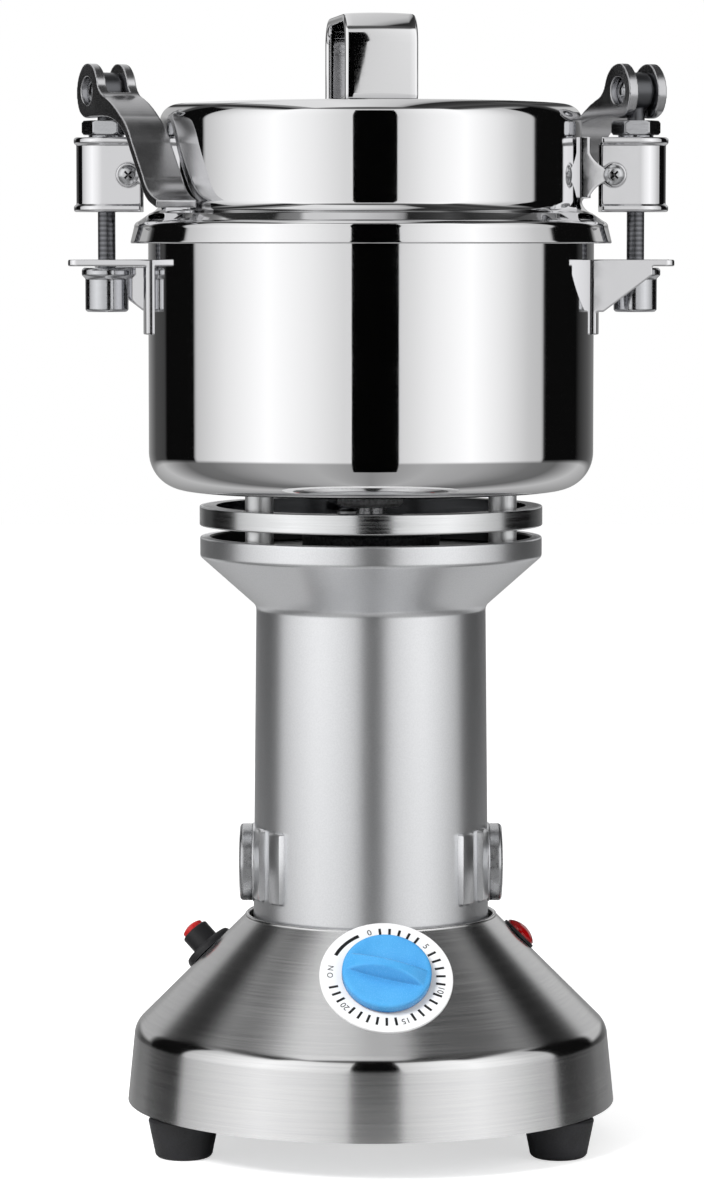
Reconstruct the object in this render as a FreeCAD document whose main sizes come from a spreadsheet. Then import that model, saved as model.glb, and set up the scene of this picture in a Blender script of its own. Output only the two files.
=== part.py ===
import FreeCAD, Part
import Sketcher
import math
import os
import re

# Electric spice grinder in millimetres. The origin is on the floor under the motor axis, +Z is up,
# and the timer dial faces -Y. The lid clamps stand at +X and -X.

doc = FreeCAD.newDocument("spice_grinder")
sheet = doc.addObject("Spreadsheet::Sheet", "sizes")

SIZES = {
    # clearances, and how far a cutting tool runs past what it cuts
    "fit_gap": 0.1, "running_gap": 0.06, "moving_gap": 0.3, "shaft_gap": 1, "overcut": 1,
    # base shell, spun from sheet
    "foot_height": 16, "shell_wall": 1.2, "shell_bottom_radius": 98, "shell_corner_radius": 95,
    "shell_corner_height": 46, "shoulder_run": 2.6, "shoulder_bend": 9, "cone_top": 90.4,
    "lip_outer": 50.6, "lip_width": 1.6, "lip_rise": 1,
    # base plate and feet
    "plate_recess": 2, "plate_wall": 1.5, "plate_rim_height": 10, "plate_gap": 1, "plate_bend": 2,
    "foot_inset": 12.5, "foot_top_radius": 14, "foot_bottom_radius": 11.5, "foot_edge": 2, "foot_crown": 1.5,
    "foot_neck_radius": 8.5, "foot_bore": 2.2, "foot_recess_radius": 5, "foot_recess": 8,
    "foot_screw_radius": 2, "foot_screw_head": 4.2, "foot_screw_head_height": 2.6,
    "foot_screw_end": 5, "foot_screw_edge": 1, "vent_length": 26, "vent_width": 4, "vent_circle": 52,
    # support posts
    "post_circle": 38, "post_width": 10, "post_screw_radius": 2.2,
    # motor housing, cast
    "housing_bottom": 86, "housing_bottom_radius": 47.3, "housing_top_radius": 46,
    "flare_bottom": 215, "flange_radius": 68.4, "flange_bottom": 235.5, "flange_top": 243.3,
    "flange_rim": 4.4, "flange_edge": 0.8, "recess_floor": 238, "floor_thickness": 4.5,
    "housing_bore": 42, "bore_top": 212, "flare_bore": 60,
    "louvre_reach": 49.3, "louvre_radius": 6.2, "louvre_bottom": 97.5, "louvre_height": 30,
    "louvre_end": 2.2, "louvre_end_radius": 4.2, "louvre_near": 21.5, "louvre_far": 38.5,
    "mouth_width": 1.9, "mouth_offset": 4.1, "mouth_height": 23,
    "intake_radius": 5.5, "intake_circle": 35, "intake_turn": 20,
    # carbon brush gear
    "brush_height": 111.6, "cap_radius": 15.5, "cap_seat": 47.6, "cap_thickness": 5, "cap_edge": 1.3,
    "boss_radius": 15.9, "holder_radius": 7.5, "holder_flange": 10, "holder_end": 18,
    "brush_width": 7, "brush_length": 14, "spring_radius": 2.6, "spring_wire": 0.45, "spring_turns": 4,
    "cap_plug": 3, "holder_rim": 1.5,
    # motor
    "core_radius": 41.8, "core_bottom": 140, "core_height": 46, "core_back": 38,
    "pole_width": 23.4, "armature_radius": 23.6, "air_gap": 0.6, "coil_wall": 6.4, "coil_inset": 1.4,
    "coil_height": 7, "slot_count": 12, "slot_width": 3, "slot_depth": 7,
    "winding_radius": 20.5, "winding_height": 10, "winding_bore": 10, "winding_round": 4,
    "commutator_radius": 14.5, "commutator_bottom": 101, "commutator_height": 22, "bar_gap": 0.6,
    "bar_gap_depth": 1.5,
    "fan_bottom": 202, "fan_radius": 38, "fan_hub": 11, "fan_disc": 1.6, "fan_height": 8.5,
    "fan_blades": 11, "fan_blade_wall": 1.5, "fan_rim": 1, "fan_lean": 2,
    "shaft_radius": 6, "shaft_lower_radius": 4, "shaft_bottom": 83, "journal_inset": 6,
    "lower_bearing_radius": 11, "lower_bearing_height": 7, "lower_bearing_bottom": 84,
    "upper_bearing_radius": 16, "upper_bearing_height": 10, "upper_bearing_bottom": 226,
    "shield_thickness": 4, "shield_boss_radius": 15, "shield_window": 7, "shield_window_circle": 28,
    "bearing_boss_radius": 21, "bearing_cap_radius": 27.5, "bearing_cap_top": 244.6,
    "bearing_cap_edge": 1.5, "bearing_cap_bevel": 2, "bearing_web": 3, "bearing_shoulder": 11,
    "bearing_edge": 0.6, "shield_boss_depth": 6, "shield_inset": 0.5, "spigot_height": 3, "spigot_wall": 3,
    "shield_lip": 1,
    # spacer stack between motor and bowl
    "stack_circle": 56, "stack_turn": 8.2, "spacer_radius": 5.6, "spacer_bore": 3.2,
    "stack_screw_radius": 3, "stack_screw_head": 5.5, "stack_screw_head_height": 3.2,
    "stack_screw_bite": 3.6, "stack_screw_edge": 1.5, "ring_outer": 68.6, "ring_inner": 62,
    "ring_bottom": 247.7,
    "ring_top": 255.6, "ear_bottom": 250, "ear_thickness": 3, "ear_width": 13, "ring_bite": 0.5,
    # bowl
    "bowl_bottom": 262, "bowl_radius": 88.8, "bowl_wall": 1.5, "bowl_corner": 15, "bowl_rim_bend": 1.5,
    "bowl_flange_height": 363.5, "bowl_flange_run": 2.1,
    # shaft hub in the bowl floor
    "hub_radius": 12.8, "hub_bottom": 255, "hub_edge": 1.5, "hub_neck": 8, "hub_top": 270,
    "hub_clearance": 0.6,
    "hub_bore": 6.4, "seal_radius": 10, "seal_bottom": 256, "seal_top": 259.5,
    "hub_nut_radius": 13, "hub_nut_height": 4.5,
    # blades
    "blade_seat": 272, "blade_seat_radius": 8, "blade_thickness": 2.4, "blade_step": 9,
    "blade_bore": 5, "lower_blade_reach": 78, "middle_blade_reach": 68, "upper_blade_reach": 54,
    "blade_root": 14, "blade_tip": 7, "blade_sweep": 14, "blade_bend_start": 22, "blade_bend_rise": 7,
    "blade_bevel_depth": 1.8, "blade_bevel_width": 3.6, "blade_nut_width": 17, "blade_nut_height": 9,
    "blade_nut_shoulder": 4, "blade_nut_face": 6.1, "blade_nut_dome": 1.4, "thread_inset": 2,
    "blade_waist": 15, "blade_tip_slope": 0.35, "blade_front_bow": 1.6, "blade_back_bow": 1.3,
    # lid, spun from sheet
    "lid_wall": 1.5, "skirt_bottom": 360, "skirt_gap": 1.9, "skirt_top": 368,
    "skirt_lean": 1.8, "skirt_bend": 2.4, "skirt_bend_foot": 1.6, "skirt_bend_head": 0.8,
    "skirt_bend_out": 0.4, "skirt_bend_in": 1.4, "skirt_crease_in": 1.1, "skirt_crease_foot": 1.9,
    "skirt_crease_head": 0.9, "shoulder_inset": 1, "plug_crease": 0.6,
    "shoulder_top": 372, "shoulder_radius": 88,
    "plug_bottom": 376, "lid_radius": 84, "plug_turn": 6, "lid_corner": 7, "lid_top": 415,
    "gasket_inner": 84.3, "gasket_outer": 91.6, "gasket_top": 369.6, "gasket_side": 366.9,
    "gasket_edge": 0.5,
    # lid handle
    "handle_width": 29, "handle_strap": 3, "handle_span": 60, "handle_top": 450,
    "handle_bend": 11, "handle_foot": 12, "handle_turn": 8, "handle_foot_turn": 3.2,
    "handle_crease": 0.6,
    # lid clamps
    "rod_offset": 105.4, "rod_radius": 3.5, "drum_radius": 12, "drum_bottom": 372.5,
    "drum_top": 402, "drum_wall": 1.5, "drum_cap": 2, "bead_rise": 1, "bead_height": 2.8,
    "bead_edge": 0.9, "drum_open_end": 91.2, "pivot_radius": 2, "pivot_offset": 96,
    "pivot_height": 387, "pivot_end": 1, "pivot_head_radius": 3.9, "pivot_head_height": 2.6,
    "strip_outer": 87.4, "strip_foot": 2, "strip_bite": 2, "strip_top": 402,
    "ear_wall": 1.6, "ear_round": 4.8, "ear_foot": 11.5, "ear_waist": 12,
    "bush_width": 17, "bush_bottom": 403, "bush_top": 408.7, "bush_collar": 7, "bush_face": 9,
    "bush_edge": 0.9,
    "pin_height": 420.4, "eye_radius": 7.4, "eye_width": 8, "eye_edge": 1, "shank_inset": 5, "pin_radius": 3,
    "pin_cap": 5.2, "pin_dome": 1.8, "pin_inset": 1.2,
    "lug_radius": 10.8, "lug_bore": 5.5, "lever_width": 17,
    "fork_gap": 9, "cam_radius": 12, "cam_shift": 2.2, "cam_turn": 15, "fork_depth": 12.5,
    "lever_heading": 63.2, "nut_radius": 8.6, "nut_collar": 10, "nut_bottom": 332.8,
    "nut_top": 350.4, "nut_collar_height": 3, "nut_recess": 5, "nut_edge": 0.8, "nut_wall": 2.4,
    # catch brackets on the bowl
    "catch_bottom": 351, "catch_thickness": 2.6, "catch_reach": 120, "catch_width": 37,
    "slot_gap": 1.2, "leg_bottom": 324, "leg_wall": 2, "gusset_wall": 2.4,
    "gusset_reach": 111, "gusset_bottom": 333, "gusset_foot": 3, "gusset_tip": 3.5, "catch_corner": 4,
    # dial, timer and knob
    "dial_turn": 4.9, "dial_height": 74.6, "dial_radius": 26.1,
    "dial_standoff": 0.5, "dial_thickness": 1, "dial_step": 0.6, "knob_radius": 17.5, "knob_height": 9.5,
    "knob_disc": 4.5, "knob_rim": 2, "knob_dish": 0.9, "knob_edge": 1.2, "knob_foot": 0.6,
    "grip_foot": 4.3, "grip_crest": 1.7, "grip_round": 1.1, "knob_socket_roof": 5,
    "grip_angle": 163, "timer_width": 30, "timer_depth": 26, "timer_shaft": 3, "timer_shaft_depth": 14,
    "timer_collar": 5, "timer_collar_height": 3,
    # overload reset button
    "reset_turn": 110, "reset_height": 72, "reset_washer": 11, "reset_washer_height": 3,
    "reset_barrel": 5.9, "reset_barrel_height": 8, "reset_button": 4.6, "reset_proud": 2.8,
    "reset_dome": 1.4, "reset_travel": 2.5, "reset_edge": 0.8, "button_skirt": 1.5, "breaker_well": 2,
    "breaker_width": 14, "breaker_depth": 24,
    # pilot lamp
    "lamp_turn": 96.5, "lamp_height": 81, "lamp_radius": 6.7, "lamp_dome": 3.4, "lamp_rim": 7.6,
    "lamp_rim_height": 1.1, "lamp_barrel": 5, "lamp_depth": 14, "lamp_edge": 0.4, "lens_foot": 0.8,
    # cord gland at the back
    "gland_height": 36.5, "gland_radius": 6.8, "gland_bore": 3.6, "gland_reach": 1.2,
    "gland_neck": 5, "gland_inside": 12,
}

for row, (name, number) in enumerate(SIZES.items(), start=1):
    sheet.set("A%d" % row, name)
    sheet.set("B%d" % row, str(number))
    sheet.setAlias("B%d" % row, name)
doc.recompute()


def formula(text):
    """An expression over the sheet, with each size's name led by the sheet's."""
    return re.sub(r"[A-Za-z_]\w*", lambda word: "sizes." + word.group()
                  if word.group() in SIZES else word.group(), str(text))


def value(text):
    """What an expression over the sheet comes to now."""
    return float(sheet.evalExpression(formula(text)))


def bind(item, path, text):
    item.setExpression(path, formula(text))


# Sketches and the features made from them

def new_body(label):
    body = doc.addObject("PartDesign::Body", label)
    body.Label = label
    return body


def plane_of(body, role):
    return [feature for feature in body.Origin.OriginFeatures if feature.Role == role][0]


def new_sketch(body, plane, across=0, up=0, out=0):
    """A sketch on one of the body's planes, moved along its own three directions."""
    sketch = body.newObject("Sketcher::SketchObject", body.Label + "_sketch")
    sketch.AttachmentSupport = (plane_of(body, plane + "_Plane"), [""])
    sketch.MapMode = "FlatFace"
    bind(sketch, "AttachmentOffset.Base.x", across)
    bind(sketch, "AttachmentOffset.Base.y", up)
    bind(sketch, "AttachmentOffset.Base.z", out)
    return sketch


def pin_point(sketch, index, position, across, up):
    """Ties one sketch point to two expressions."""
    if value(across) == 0:
        sketch.addConstraint(Sketcher.Constraint("PointOnObject", index, position, -2))
    else:
        number = sketch.addConstraint(
            Sketcher.Constraint("DistanceX", -1, 1, index, position, value(across)))
        bind(sketch, "Constraints[%d]" % number, across)
    if value(up) == 0:
        sketch.addConstraint(Sketcher.Constraint("PointOnObject", index, position, -1))
    else:
        number = sketch.addConstraint(
            Sketcher.Constraint("DistanceY", -1, 1, index, position, value(up)))
        bind(sketch, "Constraints[%d]" % number, up)


def arc_between(start, end, side, radius):
    """The arc of under a half turn from start to end, with its centre to the left or right."""
    chord = end - start
    half = chord.Length / 2
    rise = math.sqrt(max(radius * radius - half * half, 0))
    left = FreeCAD.Vector(-chord.y, chord.x, 0).normalize()
    centre = start + chord * 0.5 + left * (rise if side == "left" else -rise)
    circle = Part.Circle(centre, FreeCAD.Vector(0, 0, 1), radius)
    first, last = (start, end) if side == "left" else (end, start)
    angles = [math.atan2(point.y - centre.y, point.x - centre.x) for point in (first, last)]
    if angles[1] < angles[0]:
        angles[1] += 2 * math.pi
    return Part.ArcOfCircle(circle, angles[0], angles[1])


def draw_outline(sketch, points):
    """A closed outline. A point is (across, up), or (across, up, side, radius) at an arc's end."""
    places = [FreeCAD.Vector(value(point[0]), value(point[1]), 0) for point in points]
    ends = []
    for number, point in enumerate(points):
        start, end = places[number - 1], places[number]
        if len(point) == 4:
            index = sketch.addGeometry(arc_between(start, end, point[2], value(point[3])))
            ends.append((index, 1, 2) if point[2] == "left" else (index, 2, 1))
            limit = sketch.addConstraint(Sketcher.Constraint("Radius", index, value(point[3])))
            bind(sketch, "Constraints[%d]" % limit, point[3])
        else:
            ends.append((sketch.addGeometry(Part.LineSegment(start, end)), 1, 2))
    for number, (index, _, last) in enumerate(ends):
        following, first, _ = ends[(number + 1) % len(ends)]
        sketch.addConstraint(Sketcher.Constraint("Coincident", index, last, following, first))
        pin_point(sketch, index, last, points[number][0], points[number][1])


def draw_circle(sketch, across, up, radius):
    centre = FreeCAD.Vector(value(across), value(up), 0)
    index = sketch.addGeometry(Part.Circle(centre, FreeCAD.Vector(0, 0, 1), value(radius)))
    number = sketch.addConstraint(Sketcher.Constraint("Radius", index, value(radius)))
    bind(sketch, "Constraints[%d]" % number, radius)
    if value(across) == 0 and value(up) == 0:
        sketch.addConstraint(Sketcher.Constraint("Coincident", index, 3, -1, 1))
    else:
        pin_point(sketch, index, 3, across, up)


def turned(label, points, plane="XZ", across=0, body=None, groove=False):
    """A piece turned about the upright line that passes through the sketch's own origin."""
    body = body or new_body(label)
    sketch = new_sketch(body, plane, across)
    draw_outline(sketch, points)
    kind = "PartDesign::Groove" if groove else "PartDesign::Revolution"
    feature = body.newObject(kind, label + "_turn")
    feature.Profile = sketch
    feature.ReferenceAxis = (sketch, ["V_Axis"])
    feature.Angle = 360
    return body


def padded(label, length, points=None, circles=(), plane="XY", out=0, across=0, up=0,
           midplane=False, body=None, pocket=False, reverse=False):
    """A pad or pocket of an outline, of circles, or of an outline with round holes."""
    body = body or new_body(label)
    sketch = new_sketch(body, plane, across, up, out)
    if points:
        draw_outline(sketch, points)
    for circle in circles:
        draw_circle(sketch, *circle)
    kind = "PartDesign::Pocket" if pocket else "PartDesign::Pad"
    feature = body.newObject(kind, label + ("_pocket" if pocket else "_pad"))
    feature.Profile = sketch
    bind(feature, "Length", length)
    feature.Midplane = midplane
    feature.Reversed = reverse
    return body


def in_circle(body, count, features=1):
    """Repeats the body's last features evenly round the upright axis."""
    originals = [item for item in body.Group if hasattr(item, "Profile")][-features:]
    pattern = body.newObject("PartDesign::PolarPattern", body.Label + "_pattern")
    pattern.Originals = originals
    pattern.Axis = ([f for f in body.Origin.OriginFeatures if f.Role == "Z_Axis"][0], [""])
    pattern.Angle = 360
    bind(pattern, "Occurrences", count)
    body.Tip = pattern
    return body


def dome(width, rise):
    """Radius of a shallow dome of this half width and rise, centred on its axis."""
    return "((%s) ^ 2 + (%s) ^ 2) / (2 * (%s))" % (width, rise, rise)


def hexagon(width):
    """The six corners of a hexagon of this width across its flats."""
    corners = []
    for step in range(6):
        angle = math.radians(60 * step)
        corners.append(("(%s) / 1.7320508 * %.7f" % (width, math.cos(angle)),
                        "(%s) / 1.7320508 * %.7f" % (width, math.sin(angle))))
    corners[0] = ("(%s) / 1.7320508" % width, "0")
    corners[3] = ("0 - (%s) / 1.7320508" % width, "0")
    return corners


# Part primitives and booleans

def cylinder(label, radius, height, base=(0, 0, 0)):
    item = doc.addObject("Part::Cylinder", label)
    bind(item, "Radius", radius)
    bind(item, "Height", height)
    place(item, base)
    return item


def box(label, size, base):
    item = doc.addObject("Part::Box", label)
    for name, text in zip(("Length", "Width", "Height"), size):
        bind(item, name, text)
    place(item, base)
    return item


def place(item, base):
    for name, text in zip("xyz", base):
        if text != 0:
            bind(item, "Placement.Base." + name, text)


def cut(label, base, *tools):
    item = doc.addObject("Part::Cut", label)
    item.Base = base
    item.Tool = tools[0] if len(tools) == 1 else fuse(label + "_tools", *tools)
    item.Label = label
    return item


def fuse(label, *pieces):
    item = doc.addObject("Part::MultiFuse", label)
    item.Shapes = list(pieces)
    item.Refine = True
    item.Label = label
    return item


def common(label, *pieces):
    item = doc.addObject("Part::MultiCommon", label)
    item.Shapes = list(pieces)
    item.Label = label
    return item


def group(label, *pieces):
    """Like pieces that share one node, each still its own solid."""
    item = doc.addObject("Part::Compound", label)
    item.Links = list(pieces)
    item.Label = label
    return item


def turn(item, degrees, tilt=0, radius=0, height=0):
    """Tilts an upright piece outwards from the front and swings it round the axis."""
    heading = math.radians(degrees)
    rotation = FreeCAD.Rotation(FreeCAD.Vector(0, 0, 1), degrees).multiply(
        FreeCAD.Rotation(FreeCAD.Vector(1, 0, 0), tilt))
    place_at = FreeCAD.Vector(radius * math.sin(heading), -radius * math.cos(heading), height)
    item.Placement = FreeCAD.Placement(place_at, rotation)
    return item


def slide(item, across=0, up=0, along=0):
    """Moves a piece along its own three axes."""
    step = FreeCAD.Placement(FreeCAD.Vector(across, up, along), FreeCAD.Rotation())
    item.Placement = item.Placement.multiply(step)
    return item


# The base shell's band leans in from its foot to the corner. Its cone runs from there to the lip.
BAND_LEAN = "(shell_bottom_radius - shell_corner_radius) / (shell_corner_height - foot_height)"
CONE_RUN = "(shell_corner_radius - lip_outer)"
CONE_RISE = "(cone_top - shell_corner_height)"
CONE_SLANT = "sqrt(%s ^ 2 + %s ^ 2)" % (CONE_RUN, CONE_RISE)
# The radius of the bowl's flange, which the lid's skirt goes round.
FLANGE_RADIUS = "(bowl_radius + bowl_rim_bend + bowl_flange_run)"


def cone_radius(height):
    return "(shell_corner_radius - (%s - shell_corner_height) * %s / %s)" % (
        height, CONE_RUN, CONE_RISE)


def on_cone(item, degrees, height, lift=0):
    """Stands an upright piece on the cone of the base shell."""
    tilt = math.degrees(math.atan2(value(CONE_RISE), value(CONE_RUN)))
    turn(item, degrees, tilt, value(cone_radius(height)), height)
    return slide(item, along=lift)


NODES = {}


def node(name, item):
    item.Label = name
    NODES[name] = item
    return item


# Base: shell, plate, feet and posts

def base_parts():
    lip_inner = "lip_outer - lip_width"
    lip_top = "cone_top + lip_rise"
    under_lip = "cone_top + (lip_width * %s - shell_wall * %s) / %s" % (CONE_RISE, CONE_SLANT, CONE_RUN)
    inner_corner = "shell_corner_height - shell_wall * (%s - %s) / %s" % (
        CONE_SLANT, CONE_RISE, CONE_RUN)
    shell = turned("base_shell_skin", [
        ("shell_bottom_radius", "foot_height"),
        ("shell_corner_radius + shoulder_run * " + BAND_LEAN, "shell_corner_height - shoulder_run"),
        ("shell_corner_radius - shoulder_run * %s / %s" % (CONE_RUN, CONE_SLANT),
         "shell_corner_height + shoulder_run * %s / %s" % (CONE_RISE, CONE_SLANT),
         "left", "shoulder_bend"),
        ("lip_outer", "cone_top"),
        ("lip_outer", lip_top + " - lip_width / 2"),
        ("lip_outer - lip_width / 2", lip_top, "left", "lip_width / 2"),
        (lip_inner, lip_top + " - lip_width / 2", "left", "lip_width / 2"),
        (lip_inner, under_lip),
        ("shell_corner_radius - shell_wall", inner_corner),
        ("shell_bottom_radius - shell_wall", "foot_height"),
    ])
    deep = "10 * shell_wall"
    dial = on_cone(cylinder("dial_hole", "timer_collar + fit_gap", deep),
                   value("dial_turn"), value("dial_height"), -value("5 * shell_wall"))
    reset = on_cone(cylinder("reset_hole", "reset_barrel + fit_gap", deep),
                    -value("reset_turn"), value("reset_height"), -value("5 * shell_wall"))
    lamp = on_cone(cylinder("lamp_hole", "lamp_barrel + fit_gap", deep),
                   value("lamp_turn"), value("lamp_height"), -value("5 * shell_wall"))
    gland = cylinder("gland_hole", "gland_neck + fit_gap", "shell_bottom_radius + shell_corner_radius")
    gland.Placement = FreeCAD.Placement(FreeCAD.Vector(0, 0, value("gland_height")),
                                        FreeCAD.Rotation(FreeCAD.Vector(1, 0, 0), -90))
    node("base_shell", cut("base_shell", shell, dial, reset, lamp, gland))

    bottom = "foot_height + plate_recess"
    foot_circle = "(shell_bottom_radius - foot_inset)"

    def rim_at(height):
        """The rim's outer radius this far above the plate, just inside the leaning band."""
        return "shell_bottom_radius - shell_wall - plate_gap - %s * (plate_recess + %s)" % (
            BAND_LEAN, height)
    low_rim, high_rim = rim_at("plate_bend"), rim_at("plate_rim_height")
    plate = turned("base_plate", [
        ("0", bottom), (low_rim + " - plate_bend", bottom),
        (low_rim, bottom + " + plate_bend", "left", "plate_bend"),
        (high_rim, bottom + " + plate_rim_height"),
        (high_rim + " - plate_wall", bottom + " + plate_rim_height"),
        (low_rim + " - plate_wall", bottom + " + plate_wall"), ("0", bottom + " + plate_wall")])
    padded("foot_holes", "plate_wall * 3", circles=[("0", foot_circle, "foot_screw_radius + fit_gap")],
           out=bottom + " - overcut", body=plate, pocket=True, reverse=True)
    in_circle(plate, "3")
    padded("post_holes", "plate_wall * 3", circles=[("0", "post_circle", "post_screw_radius + fit_gap")],
           out=bottom + " - overcut", body=plate, pocket=True, reverse=True)
    in_circle(plate, "3")
    half = "vent_width / 2"
    padded("vents", "plate_wall * 3", [
        ("vent_circle + vent_length", "0 - " + half),
        ("vent_circle + vent_length + " + half, "0", "left", half),
        ("vent_circle + vent_length", half, "left", half),
        ("vent_circle", half), ("vent_circle - " + half, "0", "left", half),
        ("vent_circle", "0 - " + half, "left", half)],
        out=bottom + " - overcut", body=plate, pocket=True, reverse=True)
    in_circle(plate, "18")
    node("base_plate", plate)

    neck_top = bottom
    foot = turned("rubber_feet", [
        ("foot_bore", "foot_recess"), ("foot_recess_radius", "foot_recess"), ("foot_recess_radius", "0"),
        ("foot_bottom_radius - foot_edge", "0"),
        ("foot_bottom_radius", "foot_edge", "left", "foot_edge"),
        ("foot_top_radius", "foot_height - foot_crown"), ("foot_top_radius - foot_crown", "foot_height"),
        ("foot_neck_radius", "foot_height"), ("foot_neck_radius", neck_top), ("foot_bore", neck_top)],
        plane="YZ", across=foot_circle)
    in_circle(foot, "3")
    node("rubber_feet", foot)
    screw = turned("foot_screws", [
        ("0", "foot_recess - foot_screw_head_height"),
        ("foot_screw_head - foot_screw_edge", "foot_recess - foot_screw_head_height"),
        ("foot_screw_head", "foot_recess - foot_screw_head_height + foot_screw_edge",
         "left", "foot_screw_edge"),
        ("foot_screw_head", "foot_recess"), ("foot_screw_radius", "foot_recess"),
        ("foot_screw_radius", bottom + " + plate_wall + foot_screw_end"),
        ("0", bottom + " + plate_wall + foot_screw_end")], plane="YZ", across=foot_circle)
    in_circle(screw, "3")
    node("foot_screws", screw)

    post_bottom = bottom + " + plate_wall"
    shield_bottom = "housing_bottom - shield_thickness"
    posts = padded("support_posts", shield_bottom + " - (" + post_bottom + ")",
                   [(x, "%s + post_circle" % y if y != "0" else "post_circle")
                    for x, y in hexagon("post_width")], out=post_bottom)
    in_circle(posts, "3")
    node("support_posts", posts)


# Motor housing, cast in one piece with its flare and flange

def housing_parts():
    rim_inner = "flange_radius - flange_rim"
    skin = turned("housing_skin", [
        ("0", "housing_bottom"), ("housing_bottom_radius", "housing_bottom"),
        ("housing_top_radius", "flare_bottom"), ("flange_radius", "flange_bottom"),
        ("flange_radius", "flange_top - flange_edge"),
        ("flange_radius - flange_edge", "flange_top", "left", "flange_edge"),
        (rim_inner + " + flange_edge", "flange_top"),
        (rim_inner, "flange_top - flange_edge", "left", "flange_edge"),
        (rim_inner, "recess_floor"), ("0", "recess_floor")])
    hollow = turned("housing_hollow", [
        ("0", "housing_bottom - overcut"), ("housing_bore", "housing_bottom - overcut"),
        ("housing_bore", "bore_top"), ("flare_bore", "recess_floor - floor_thickness"),
        ("bearing_boss_radius", "recess_floor - floor_thickness"),
        ("bearing_boss_radius", "upper_bearing_bottom - bearing_web"),
        ("bearing_shoulder", "upper_bearing_bottom - bearing_web"),
        ("bearing_shoulder", "upper_bearing_bottom"),
        ("upper_bearing_radius + fit_gap", "upper_bearing_bottom"),
        ("upper_bearing_radius + fit_gap", "recess_floor + overcut"), ("0", "recess_floor + overcut")])
    louvres, mouths = [], []
    shoulder = "louvre_height - 2 * louvre_end"
    for side in (0, 180):
        for angle in ("louvre_near", "louvre_far"):
            for hand in (1, -1):
                name = "louvre_%d_%s_%d" % (side, angle, hand)
                middle = cylinder(name, "louvre_radius", shoulder)
                lower = doc.addObject("Part::Cone", name + "_foot")
                bind(lower, "Radius1", "louvre_end_radius")
                bind(lower, "Radius2", "louvre_radius")
                bind(lower, "Height", "louvre_end")
                upper = doc.addObject("Part::Cone", name + "_head")
                bind(upper, "Radius1", "louvre_radius")
                bind(upper, "Radius2", "louvre_end_radius")
                bind(upper, "Height", "louvre_end")
                degrees = side + hand * value(angle)
                heading = math.radians(degrees)
                reach = value("louvre_reach - louvre_radius")
                across, depth = reach * math.cos(heading), reach * math.sin(heading)
                floor = value("louvre_bottom")
                for piece, lift in ((lower, 0), (middle, value("louvre_end")),
                                    (upper, value("louvre_height - louvre_end"))):
                    piece.Placement.Base = FreeCAD.Vector(across, depth, floor + lift)
                    louvres.append(piece)
                mouth = box(name + "_mouth", ("louvre_reach", "mouth_width", "mouth_height"), (0, 0, 0))
                spin = FreeCAD.Rotation(FreeCAD.Vector(0, 0, 1), degrees)
                edge = -value("mouth_offset") if hand > 0 else value("mouth_offset - mouth_width")
                lift = floor + value("(louvre_height - mouth_height) / 2")
                start = FreeCAD.Vector(value("housing_bore - 4 * overcut"), edge, lift)
                mouth.Placement = FreeCAD.Placement(spin.multVec(start), spin)
                mouths.append(mouth)
    boss = cylinder("brush_boss", "boss_radius", "2 * cap_seat")
    boss.Placement = FreeCAD.Placement(
        FreeCAD.Vector(-value("cap_seat"), 0, value("brush_height")),
        FreeCAD.Rotation(FreeCAD.Vector(0, 1, 0), 90))
    bore = cylinder("brush_bore", "holder_radius + fit_gap", "2 * (cap_seat + overcut)")
    bore.Placement = FreeCAD.Placement(
        FreeCAD.Vector(-value("cap_seat + overcut"), 0, value("brush_height")),
        FreeCAD.Rotation(FreeCAD.Vector(0, 1, 0), 90))
    seat = cylinder("brush_seat", "holder_flange + fit_gap", "2 * (cap_seat + overcut)")
    seat.Placement = bore.Placement
    keep = cylinder("brush_seat_floor", "holder_flange + 2 * overcut", "2 * (cap_seat - cap_plug)")
    keep.Placement = FreeCAD.Placement(
        FreeCAD.Vector(-value("cap_seat - cap_plug"), 0, value("brush_height")),
        FreeCAD.Rotation(FreeCAD.Vector(0, 1, 0), 90))
    ends = cut("brush_seat_ends", seat, keep)
    body = padded("stack_bores", "recess_floor", circles=[
        ("0", "stack_circle", "stack_screw_radius + fit_gap")],
        out="recess_floor - stack_screw_bite")
    in_circle(body, "3")
    bind(body, "Placement.Rotation.Angle", "stack_turn")
    intake = padded("intake_bores", "recess_floor", circles=[("0", "intake_circle", "intake_radius")],
                    out="recess_floor - floor_thickness - overcut")
    in_circle(intake, "9")
    bind(intake, "Placement.Rotation.Angle", "stack_turn + intake_turn")
    outer = fuse("housing_outer", skin, boss, *louvres)
    node("motor_housing", cut("motor_housing", outer, hollow, bore, ends, body, intake, *mouths))

    node("bearing_cap", turned("bearing_cap", [
        ("shaft_radius + shaft_gap", "recess_floor"), ("bearing_cap_radius", "recess_floor"),
        ("bearing_cap_radius", "bearing_cap_top - bearing_cap_edge"),
        ("bearing_cap_radius - bearing_cap_edge", "bearing_cap_top", "left", "bearing_cap_edge"),
        ("shaft_radius + shaft_gap + bearing_cap_bevel", "bearing_cap_top"),
        ("shaft_radius + shaft_gap", "bearing_cap_top - bearing_cap_bevel")]))

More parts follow.
